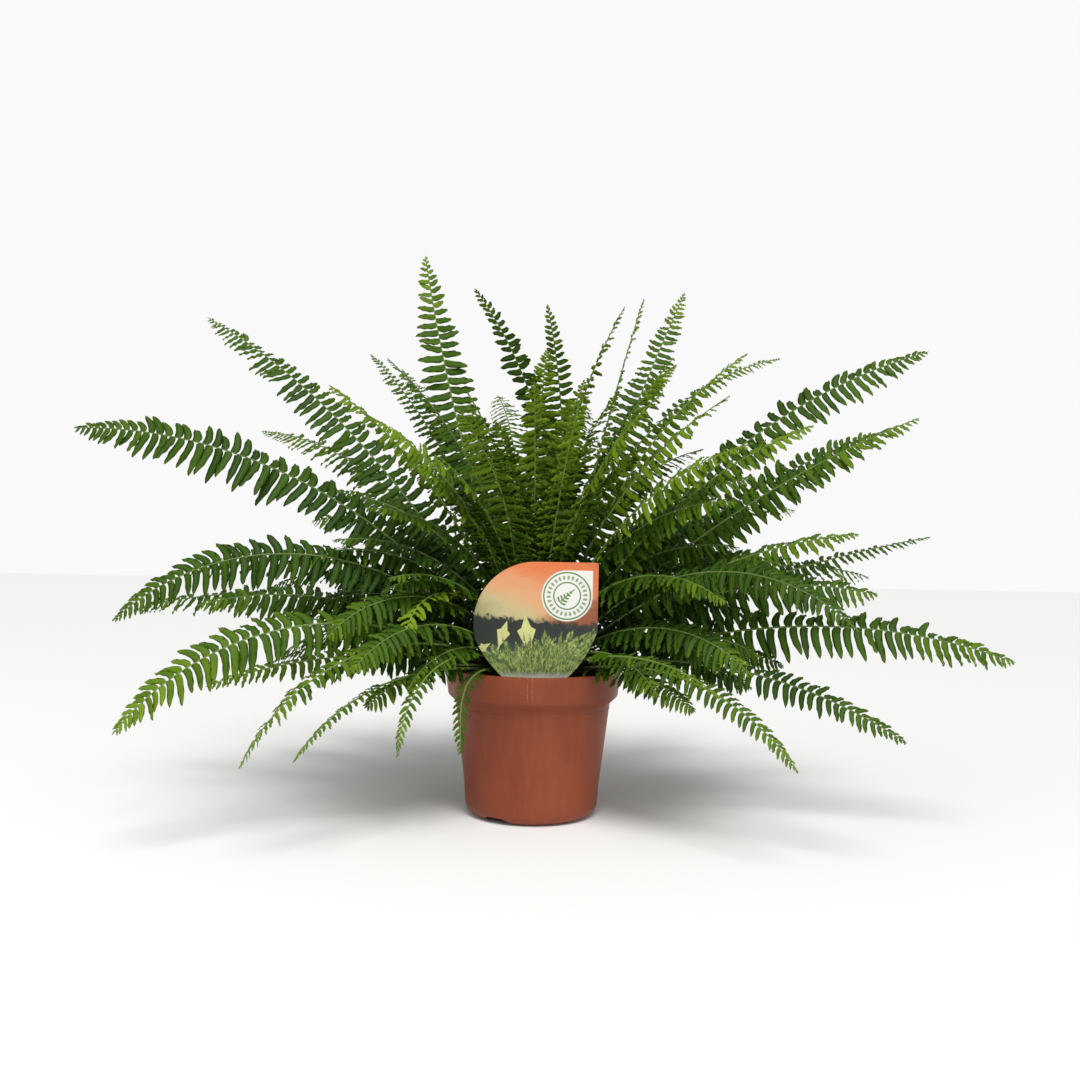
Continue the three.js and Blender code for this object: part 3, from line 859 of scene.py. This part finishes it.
def latheMesh(name, line, turns, wobble=None):
    # closed when the line starts and ends on the axis
    points, faces = [], []
    rings = []
    for r, z in line:
        if r < 1e-6:
            rings.append([len(points)])
            points.append((0, 0, z * mm))
        else:
            rings.append(list(range(len(points), len(points) + turns)))
            for k in range(turns):
                a = 2 * math.pi * k / turns
                push = wobble(r, z, a) if wobble else 0
                points.append((r * mm * math.cos(a), r * mm * math.sin(a), (z + push) * mm))
    for one, two in zip(rings, rings[1:]):
        for k in range(turns):
            a, b = one[k % len(one)], one[(k + 1) % turns % len(one)]
            c, d = two[(k + 1) % turns % len(two)], two[k % len(two)]
            corners = [a]
            for v in (b, c, d):
                if v not in corners:
                    corners.append(v)
            if len(corners) > 2:
                faces.append(tuple(corners))
    return meshOf(name, points, faces)


def makePotMaterial():
    material, tree, shader = newMaterial("terracotta plastic", Specular_IOR_Level=0.28)
    point = objectPoint(tree)
    grain = useGroup(grainGroup, Vector=point, Coarse=28.0, Fine=2200.0, Balance=0.5)
    streak = noiseAt(stretched(point, scale=(1, 1, 0.06)), 260.0, 4.0, 0.6)
    streaks = remap(streak, 0.42, 0.68)
    cloud = remap(noiseAt(point, 14.0, 3.0), 0.35, 0.65)
    color = mixColor(cloud, potLook["clayDark"], potLook["clay"])
    color = mixColor(streaks * 0.07, color, potLook["dust"])
    # two fine rub marks under the lip at the front
    x, y, z = separated(point)
    marks = 0.0
    for place in potLook["rubMarks"]:
        line = remap(abs(x - place), 0.00015, 0.00055, 1.0, 0.0)
        marks = calc("MAXIMUM", marks, line)
    front = remap(y, -0.062, -0.066)
    reach = remap(z, 0.094, 0.099) * remap(noiseAt(point, 700.0), 0.3, 0.6)
    rub = marks * front * reach
    color = mixColor(rub * 0.55, color, potLook["dust"])
    # patchy darkening low on the foot, darker towards the bottom
    low = remap(z, 0.000, 0.020, 1.0, 0.0)
    footDarkening = low * remap(grain["Mask"], 0.45, 0.7)
    color = mixColor(footDarkening * 0.35, color, potLook["footDarkening"])
    feed(shader.inputs["Base Color"], color)
    feed(shader.inputs["Roughness"], remap(streak, 0.3, 0.7, 0.36, 0.52))
    height = grain["Height"] + streaks * 0.15
    bumpInto(shader, height, 0.35, 0.00012)
    return material


def makePot():
    low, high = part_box("nursery_pot")
    look = potLook
    lip, top = (high[0] - low[0]) / 2 / mm, high[2] / mm
    ring = look["footRadius"] - look["footFillet"]
    bandFoot = top - look["lipBand"]
    body = lip - look["bandDraft"] - look["shoulderStep"]
    bodyTop = bandFoot - look["shoulderDrop"]
    inner = ring - look["ringWidth"]
    panel = inner - look["baseBevel"]
    wall, lift = look["wall"], look["baseLift"]

    def bodyAt(z):
        share = (z - look["footFillet"]) / (bodyTop - look["footFillet"])
        return look["footRadius"] + (body - look["footRadius"]) * share

    bead, beadLow = look["bead"], bodyTop - look["beadDrop"]
    outside = [
        (0, lift), (panel, lift), (inner, 0.0), (ring, 0.0), (look["footRadius"], 0.0), (bodyAt(24), 24.0),
        (bodyAt(beadLow), beadLow), (bodyAt(beadLow + 0.5) + bead, beadLow + 0.5),
        (bodyAt(beadLow + 1.5) + bead, beadLow + 1.5), (bodyAt(beadLow + 2.1), beadLow + 2.1),
        (body, bodyTop), (lip - look["bandDraft"], bandFoot), (lip, top - 0.2), (lip - 0.5, top),
    ]
    reach = [0, 1.0, 1.0, 0, look["footFillet"], 0, 0.2, 0.2, 0.2, 0.2, 1.6, 1.2, 0.8, 0.25]
    lipIn = lip - look["lipWall"]
    inside = [
        (lipIn + 0.5, top), (lipIn, top - 0.2), (lip - wall - look["bandDraft"] * 0.5, top - 9.0),
        (lip - look["bandDraft"] - wall, bandFoot + wall * 0.6), (body - wall, bodyTop + wall * 0.6),
        (look["footRadius"] - wall, wall), (inner, wall), (panel, lift + wall), (0, lift + wall),
    ]
    reachIn = [0.25, 0.7, 1.0, 1.2, 1.6, look["footFillet"] - wall, 1.0, 1.0, 0]
    line = roundedLine(outside + inside, reach + reachIn)
    shell = newObject("pot_shell", latheMesh("pot shell", line, look["turns"]))

    # drain holes and foot arches as one cutter
    cut = bmesh.new()
    places = [(0.0, 0.0)] + [
        (look["holeCircle"] * math.cos(math.tau * k / look["holes"]),
         look["holeCircle"] * math.sin(math.tau * k / look["holes"]))
        for k in range(look["holes"])
    ]
    for x, y in places:
        bmesh.ops.create_cone(
            cut, cap_ends=True, segments=32, radius1=look["holeRadius"] * mm, radius2=look["holeRadius"] * mm,
            depth=20 * mm, matrix=Matrix.Translation((x * mm, y * mm, 0)))
    half, rise = look["notchWidth"] / 2, look["notchHeight"]
    arch = [(-half, -4), (half, -4), (half, 0)]
    arch += [(half * (1 - 0.62 * t), rise * math.sin(t * math.pi / 2)) for t in (0.2, 0.4, 0.6, 0.8, 1.0)]
    arch += [(-x, z) for x, z in reversed(arch[3:])] + [(-half, 0)]
    for azimuth in look["notches"]:
        turn = Matrix.Rotation(math.radians(azimuth), 3, "Z")
        near, far = look["footRadius"] - look["notchDepth"], look["footRadius"] + 2
        rows = [[cut.verts.new(turn @ Vector((r * mm, x * mm, z * mm))) for x, z in arch]
                for r in (near, far)]
        count = len(arch)
        for k in range(count):
            cut.faces.new((rows[0][k], rows[0][(k + 1) % count], rows[1][(k + 1) % count], rows[1][k]))
        cut.faces.new(rows[0][::-1])
        cut.faces.new(rows[1])
    bmesh.ops.recalc_face_normals(cut, faces=cut.faces)
    cutter = newObject("pot_cutter", meshFrom("pot cutter", cut))
    carve = shell.modifiers.new("carve", "BOOLEAN")
    carve.operation = "DIFFERENCE"
    carve.solver = "EXACT"
    carve.object = cutter
    shell.data = evaluatedMesh(shell)
    shell.modifiers.clear()
    bpy.data.objects.remove(cutter)
    shell.data.materials.clear()
    shell.data.materials.append(makePotMaterial())
    shell.data.shade_smooth()
    shell.data.set_sharp_from_angle(angle=math.radians(38))
    finishPiece(shell, "pot_plastic", "nursery_pot")


makePot()
say("pot")


# soil and crown
soilLook = {
    "footLine": [(0, 0), (36, 0), (43, 1.2), (49.6, 7)], "flank": [(59.4, 88.0), (65.0, 94.8)],
    "bedTurns": 96, "bedRings": 26, "rough": 1.3, "crumbs": 52000.0, "crumbSize": (0.7, 2.4),
    "dark": (0.012, 0.008, 0.005, 1), "brown": (0.060, 0.036, 0.020, 1), "pale": (0.32, 0.26, 0.18, 1),
    "scales": 90000.0, "scaleSize": (0.6, 1.2), "scaleUpright": 0.84,
    "fibreDark": (0.030, 0.016, 0.007, 1), "fibre": (0.140, 0.078, 0.032, 1),
    "fibrePale": (0.30, 0.20, 0.09, 1),
}


def makeEarthMaterial(name, dark, brown, pale, paleShare):
    material, tree, shader = newMaterial(name, Roughness=0.92, Specular_IOR_Level=0.25)
    point = objectPoint(tree)
    grain = useGroup(grainGroup, Vector=point, Coarse=140.0, Fine=1500.0, Balance=0.5)
    color = mixColor(remap(grain["Mask"], 0.38, 0.66), dark, brown)
    flecks = remap(noiseAt(point, 520.0, 1.0), 0.72 - paleShare, 0.76 - paleShare)
    color = mixColor(flecks, color, pale)
    feed(shader.inputs["Base Color"], color)
    bumpInto(shader, grain["Height"], 0.8, 0.0006)
    return material


def crumbMesh(name, seed, squash):
    lump = bmesh.new()
    bmesh.ops.create_icosphere(lump, subdivisions=1, radius=0.5)
    draw = random.Random(seed)
    for vertex in lump.verts:
        vertex.co *= draw.uniform(0.72, 1.2)
        vertex.co.z *= squash
    mesh = meshFrom(name, lump)
    mesh.shade_smooth()
    return mesh


def makeScatterTree(name, sourceSet, material):
    # crumbs or scales strewn on the upward faces of a bed, joined to it
    tree, given, ends = groupTree(
        name, "GeometryNodeTree",
        {"Geometry": "NodeSocketGeometry", "Density": 50000.0, "Smallest": 0.0007, "Largest": 0.0024,
         "Upright": 0.0, "Seed": 3},
        {"Geometry": "NodeSocketGeometry"})
    normal = result(tree, "GeometryNodeInputNormal")
    spots = fieldsOf(addNode(tree, "GeometryNodeDistributePointsOnFaces", {
        "Mesh": given["Geometry"], "Selection": calc("GREATER_THAN", separated(normal)[2], 0.1),
        "Density": given["Density"], "Seed": given["Seed"]}))
    size = randomIn(tree, given["Smallest"], given["Largest"], given["Seed"] + 7.0)
    spin = randomIn(tree, (-3.1, -3.1, -3.1), (3.1, 3.1, 3.1), given["Seed"] + 9.0, "FLOAT_VECTOR")
    align = result(tree, "FunctionNodeAlignRotationToVector", {"Vector": spots["Normal"]}, axis="Z")
    inputs = {"Factor": given["Upright"], 8: spin, 9: align}
    turn = result(tree, "ShaderNodeMix", inputs, 3, data_type="ROTATION")
    spread = scattered(tree, spots["Points"], sourceSet, 3, given["Seed"], turn, size)
    feed(ends[0], painted(tree, joined(tree, realized(tree, spread), given["Geometry"]), material))
    return tree


def strew(bed, tree, **values):
    ids = inputIds(tree)
    modifier = bed.modifiers.new("strew", "NODES")
    modifier.node_group = tree
    for label, value in values.items():
        modifier[ids[label]] = value
    made = evaluatedMesh(bed)
    bed.modifiers.clear()
    bed.data = made


def makeSoil():
    low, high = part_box("potting_soil")
    top, foot = high[2] / mm, low[2] / mm
    edge = (high[0] - low[0]) / 2 / mm

    def bumpy(r, z, a):
        if z < top - 4:
            return 0
        here = Vector((r * math.cos(a), r * math.sin(a), 3.0))
        ease = smoothstep(edge + 0.1, edge - 3, r)
        return soilLook["rough"] * ease * (noise.fractal(here / 9, 0.8, 2.1, 4) + 0.5 * noise.noise(here / 3))

    line = [(r, foot + z) for r, z in soilLook["footLine"]] + soilLook["flank"] + [(edge, top - 2.6)]
    for k in range(1, soilLook["bedRings"] + 1):
        r = edge * (1 - k / soilLook["bedRings"])
        line.append((r, top - 2.0 * smoothstep(34, edge, r)))
    bed = newObject("soil_bed", latheMesh("soil bed", line, soilLook["bedTurns"], bumpy))
    material = makeEarthMaterial("potting soil", soilLook["dark"], soilLook["brown"], soilLook["pale"], 0.06)
    crumbs = meshSet("crumbs", [crumbMesh(f"crumb {k}", 40 + k, (1.0, 0.7, 0.35)[k]) for k in range(3)])
    tree = makeScatterTree("soil crumbs", crumbs, material)
    strew(bed, tree, Density=soilLook["crumbs"], Smallest=soilLook["crumbSize"][0] * mm,
          Largest=soilLook["crumbSize"][1] * mm, Upright=0.0, Seed=3)
    finishPiece(bed, "soil", "potting_soil")


def scaleMesh(name, seed):
    # a papery brown scale of the crown: a thin three-sided spike
    draw = random.Random(seed)
    tall, wide = draw.uniform(2.6, 4.0), draw.uniform(0.30, 0.5)
    lean = draw.uniform(-0.8, 0.8)
    points = [(wide, 0, -0.4), (-wide * 0.5, wide * 0.5, -0.4), (-wide * 0.5, -wide * 0.5, -0.4),
              (wide * 0.7 + lean * 0.3, 0, tall * 0.5), (lean * 0.3 - wide * 0.3, wide * 0.3, tall * 0.5),
              (lean * 0.3 - wide * 0.3, -wide * 0.3, tall * 0.5), (lean, 0, tall)]
    faces = [(0, 2, 1), (0, 1, 4, 3), (1, 2, 5, 4), (2, 0, 3, 5), (3, 4, 6), (4, 5, 6), (5, 3, 6)]
    return meshOf(name, points, faces)


def makeCrown():
    low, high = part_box("crown")
    radius, foot, top = (high[0] - low[0]) / 2 / mm, low[2] / mm, high[2] / mm

    def knobbly(r, z, a):
        here = Vector((r * math.cos(a), r * math.sin(a), z))
        return -0.2 if z < foot + 0.1 else 0.9 * noise.fractal(here / 6, 0.8, 2.1, 4) - 0.5

    line = [(0, foot), (radius * 0.5, foot), (radius - 0.5, foot)]
    for t in range(1, 20):
        a = t * math.pi / 40
        line.append((radius * math.cos(a), foot + (top - foot) * math.sin(a)))
    line.append((0, top))
    dome = newObject("crown_tuft", latheMesh("crown tuft", line, 72, knobbly))
    material = makeEarthMaterial("crown fibre", soilLook["fibreDark"], soilLook["fibre"],
                                 soilLook["fibrePale"], 0.10)
    spikes = meshSet("crown scales", [scaleMesh(f"scale {k}", 60 + k) for k in range(3)])
    tree = makeScatterTree("crown scales", spikes, material)
    strew(dome, tree, Density=soilLook["scales"], Smallest=soilLook["scaleSize"][0] * mm,
          Largest=soilLook["scaleSize"][1] * mm, Upright=soilLook["scaleUpright"], Seed=8)
    finishPiece(dome, "rhizome", "crown")


makeSoil()
makeCrown()
say("soil and crown")


# label card
labelLook = {
    "radius": 46.5, "neck": 21.0, "stakeWidth": 16.0, "stakeLength": 44.0, "bevel": 0.12,
    "skyTop": (0.60, 0.15, 0.045, 1), "skyMid": (0.60, 0.31, 0.15, 1), "skyLow": (0.46, 0.41, 0.21, 1),
    "haze": (0.26, 0.25, 0.10, 1), "redHill": (0.26, 0.075, 0.030, 1), "darkTree": (0.020, 0.025, 0.020, 1),
    "greyGreen": (0.055, 0.075, 0.050, 1), "grassDark": (0.050, 0.085, 0.020, 1),
    "grass": (0.230, 0.300, 0.065, 1),
    "grassPale": (0.440, 0.480, 0.170, 1), "leafPale": (0.56, 0.54, 0.22, 1), "paper": (0.68, 0.67, 0.63, 1),
    "ink": (0.095, 0.190, 0.040, 1),
}


def makePrintGroup():
    # the card's picture by place: x and y run from -1 to 1 over the card's round
    look = labelLook
    tree, given, ends = groupTree("card picture", "ShaderNodeTree", {"X": 0.0, "Y": 0.0},
                                  {"Color": "NodeSocketColor"})
    x, y = given["X"], given["Y"]

    def at(px, py):
        return combined(tree, px, py)

    place = at(x, y)
    soft = noiseAt(stretched(place, scale=(0.7, 1.8, 1)), 2.4, 5.0, 0.6)
    fine = noiseAt(place, 9.0, 6.0, 0.65)
    drift = (soft - 0.5) * 0.7

    # evening sky: orange over peach over pale yellow, yellower on the left
    lift = y + drift
    sky = mixColor(remap(lift + x * 0.3, 0.35, 1.05), look["skyMid"], look["skyTop"])
    sky = mixColor(remap(lift + x * 0.45, 0.45, -0.10, 0.0, 1.0), sky, look["skyLow"])
    sky = mixColor(remap(lift + x * 0.55, 0.02, -0.42, 0.0, 0.9), sky, look["haze"])

    # reddish hill on the right, dark trees across the middle, grey-green below them
    ridge = (fine - 0.5) * 0.42 + x * 0.10
    hill = remap(ridge + x * 0.22 - y, -0.20, 0.05)
    color = mixColor(hill * remap(x, -0.4, 0.5), sky, look["redHill"])
    trees = remap(ridge - x * 0.16 - (y - 0.08), -0.02, 0.06)
    color = mixColor(trees, color, look["darkTree"])
    under = remap(y + drift * 0.5, -0.20, -0.55, 0.0, 0.75)
    color = mixColor(under * trees, color, look["greyGreen"])

    # pale pointed leaves standing in the grass: a tall lobe with small ones beside it
    for cx, cy, size, turn in ((-0.52, -0.16, 0.23, 0.30), (-0.14, -0.14, 0.31, -0.10),
                               (-0.84, -0.40, 0.16, 1.0)):
        px, py = x - cx, y - cy
        side = px * math.cos(turn) - py * math.sin(turn)
        rise = py * math.cos(turn) / size + px * math.sin(turn) / size
        half = remap(rise, -0.9, 0.12, 0.08, 0.50, smooth=False)
        half = half - remap(rise, 0.12, 0.28, 0.0, 0.24, smooth=False)
        half = half - remap(rise, 0.28, 1.0, 0.0, 0.26, smooth=False)
        room = half * size - abs(side)
        shade = mixColor(remap(fine, 0.4, 0.62), look["leafPale"], look["grassPale"])
        color = mixColor(remap(room, 0.0, 0.010), color, shade)

    # feathery grass: slanting strokes that fan out from the card's foot
    fan = calc("ARCTAN2", x, y + 1.5)
    reach = vectorCalc("LENGTH", at(x, y + 1.5))
    strokes = noiseAt(at(fan * 26.0, reach * 8.0), 1.0, 6.0, 0.7, 1.4)
    blades = noiseAt(at(fan * 12.0, reach * 2.4), 1.0, 5.0, 0.7, 0.6)
    crest = -0.33 + (blades - 0.45) * 1.1
    crest = crest + x * 0.20
    meadow = remap(crest - y, 0.0, 0.035)
    grass = mixColor(remap(strokes, 0.42, 0.56), look["grassDark"], look["grass"])
    grass = mixColor(remap(strokes, 0.55, 0.66), grass, look["grassPale"])
    grass = mixColor(remap(fine, 0.52, 0.36, 0.0, 0.6), grass, look["grassDark"])
    grass = mixColor(remap(y, -0.74, -0.92, 0.0, 0.85), grass, look["paper"])
    color = mixColor(meadow, color, grass)

    # white drop-shaped patch with a generic round badge
    px, py = x - 0.50, y - 0.46
    away = vectorCalc("LENGTH", at(px, py))
    square = calc("MAXIMUM", abs(px), abs(py))
    corner = calc("GREATER_THAN", px, 0.0) * calc("GREATER_THAN", py, 0.0)
    patch = remap(square, 0.415, 0.405) * corner
    patch = calc("MAXIMUM", patch, remap(away, 0.415, 0.405))
    color = mixColor(patch, color, look["paper"])

    def ring(radius, half):
        gap = abs(away - radius)
        return remap(gap, half + 0.006, half - 0.002)

    badge = calc("MAXIMUM", ring(0.375, 0.010), ring(0.215, 0.009))
    # a ring of dashes instead of words
    angle = calc("ARCTAN2", py, px)
    dash = remap(calc("SINE", angle * 26.0), -0.15, 0.15)
    badge = calc("MAXIMUM", badge, dash * ring(0.295, 0.030) * 0.8)
    # a small slanting sprig in the middle
    lean = 0.75
    ax = px * math.cos(lean) + py * math.sin(lean)
    ay = py * math.cos(lean) - px * math.sin(lean)
    taper = remap(ax, -0.15, 0.16, 0.105, 0.0, smooth=False)
    saw = calc("SINE", (ax - abs(ay) * 0.55) * 105.0)
    sprig = remap(taper - abs(ay), 0.0, 0.008) * remap(saw, -0.30, 0.05)
    stem = remap(abs(ay), 0.012, 0.006) * remap(abs(ax), 0.165, 0.155)
    badge = calc("MAXIMUM", badge, calc("MAXIMUM", sprig * remap(abs(ax), 0.165, 0.155), stem))
    color = mixColor(badge, color, look["ink"])
    feed(ends["Color"], color)
    return tree


def makeLabelMaterial(middle, thickness):
    material, tree, shader = newMaterial("printed card", Roughness=0.42, Specular_IOR_Level=0.35)
    point = objectPoint(tree)
    placeX, placeY, placeZ = separated(point)
    scale = 1 / (labelLook["radius"] * mm)
    x = (placeX - middle[0]) * scale
    y = (placeZ - middle[2]) * scale
    picture = useGroup(makePrintGroup(), X=x, Y=y)
    front = remap(placeY, middle[1] - thickness * 0.30, middle[1] - thickness * 0.34)
    printed = front * remap(y, -0.935, -0.925)
    color = mixColor(printed, labelLook["paper"], picture["Color"])
    feed(shader.inputs["Base Color"], color)
    grain = useGroup(grainGroup, Vector=point, Coarse=160.0, Fine=2600.0, Balance=0.6)
    feed(shader.inputs["Roughness"], remap(grain["Mask"], 0.3, 0.7, 0.34, 0.50))
    bumpInto(shader, grain["Height"], 0.18, 0.00005)
    return material


def makeLabel():
    low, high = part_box("plant_label")
    look = labelLook
    r = look["radius"]
    middle = ((high[0] / mm - r) * mm, (low[1] + high[1]) / 2, (high[2] / mm - r) * mm)
    thickness = high[1] - low[1]
    chin = -0.92 * r
    foot = chin - look["stakeLength"]
    stake, neck = look["stakeWidth"] / 2, look["neck"]

    def curve(a, b, c, steps=9):
        return [tuple((1 - t) ** 2 * a[i] + 2 * t * (1 - t) * b[i] + t * t * c[i] for i in (0, 1))
                for t in (k / steps for k in range(1, steps + 1))]

    outline = [(r - 1.2, r), (0, r)]
    outline += [(r * math.cos(math.radians(a)), r * math.sin(math.radians(a))) for a in range(94, 196, 4)]
    left = (r * math.cos(math.radians(195)), r * math.sin(math.radians(195)))
    outline += [left] + curve(left, (-0.78 * r, -0.66 * r), (-neck, chin))
    outline += [(-stake, chin - 6), (-stake * 0.8, foot + 10), (-0.8, foot + 0.4), (0.8, foot + 0.4),
                (stake * 0.8, foot + 10), (stake, chin - 6)]
    outline += [(neck, chin)] + curve((neck, chin), (0.82 * r, -0.62 * r), (r, -0.1 * r))
    outline += [(r, r - 1.2), (r - 0.25, r - 0.25)]
    card = bmesh.new()
    back = middle[1] - thickness / 2
    ring = [card.verts.new((middle[0] + x * mm, back, middle[2] + z * mm)) for x, z in outline]
    made = bmesh.ops.extrude_face_region(card, geom=[card.faces.new(ring)])
    bmesh.ops.translate(card, vec=(0, thickness, 0),
                        verts=[v for v in made["geom"] if isinstance(v, bmesh.types.BMVert)])
    rims = [e for e in card.edges if abs(e.verts[0].co.y - e.verts[1].co.y) < 1e-7]
    bmesh.ops.bevel(card, geom=rims, offset=look["bevel"] * mm, segments=2, affect="EDGES", profile=0.5)
    bmesh.ops.recalc_face_normals(card, faces=card.faces)
    mesh = meshFrom("label card", card)
    mesh.shade_smooth()
    mesh.set_sharp_from_angle(angle=math.radians(40))
    piece = newObject("label_card", mesh)
    mesh.materials.append(makeLabelMaterial(middle, thickness))
    finishPiece(piece, "label_card", "plant_label")


makeLabel()
say("label")


# camera, light and floor, for looking only
view = {
    "distance": 0.900, "height": 0.223, "pitchDown": 0.008, "roll": 0.018, "lens": 37.71, "shiftX": 0.004,
    "skyLight": 0.40, "skySeen": 0.95, "sun": 2.5, "sunSpread": 28, "sunWay": (-0.10, 0.62, -1.0),
    # each lamp's place, what it looks at, and its power
    "lamps": {"fill": ((1.0, -1.5, 0.6), (0, 0, 0.12), 7), "left": ((-1.4, -1.0, 1.0), (0, 0, 0.2), 6)},
    "lampSize": 1.2, "floor": (0.86, 0.86, 0.85, 1), "floorHalf": 4,
}

cameraData = bpy.data.cameras.new("camera")
cameraData.sensor_width = 36
cameraData.lens = view["lens"]
cameraData.shift_x = view["shiftX"]
cameraData.clip_start = 0.01
cameraData.clip_end = 50
camera = newObject("camera", cameraData)
camera.matrix_world = (
    Matrix.Translation((0, -view["distance"], view["height"]))
    @ Matrix.Rotation(math.radians(90) - view["pitchDown"], 4, "X")
    @ Matrix.Rotation(view["roll"], 4, "Z")
)
scene.camera = camera


def addLight(name, kind, power, way, place=(0, 0, 0)):
    data = bpy.data.lights.new(name, kind)
    data.energy = power
    light = newObject(name, data)
    light.location = place
    light.rotation_euler = Vector(way).to_track_quat("-Z", "Y").to_euler()
    return data


for name, (place, target, power) in view["lamps"].items():
    lamp = addLight(name, "AREA", power, Vector(target) - Vector(place), place)
    lamp.shape = "DISK"
    lamp.size = view["lampSize"]
addLight("sun", "SUN", view["sun"], view["sunWay"]).angle = math.radians(view["sunSpread"])

world = bpy.data.worlds.new("studio")
scene.world = world
world.use_nodes = True
skyTree = world.node_tree
sky = skyTree.nodes["Background"]
sky.inputs["Color"].default_value = (1, 1, 1, 1)
# a white backdrop behind the plant, and a softer light from it
seen = Field(addNode(skyTree, "ShaderNodeLightPath").outputs["Is Camera Ray"])
feed(sky.inputs["Strength"], remap(seen, 0.0, 1.0, view["skyLight"], view["skySeen"], smooth=False))
scene.view_settings.view_transform = "Standard"

floorMaterial, floorTree, floorShader = newMaterial("pale floor", Roughness=0.8)
floorShader.inputs["Base Color"].default_value = view["floor"]
half = view["floorHalf"]
corners = [(-half, -half, 0), (half, -half, 0), (half, half, 0), (-half, half, 0)]
floor = newObject("floor", meshOf("floor", corners, [(0, 1, 2, 3)], smooth=False))
floor.data.materials.append(floorMaterial)
floor.location.z = -0.0005

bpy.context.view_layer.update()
say("done")
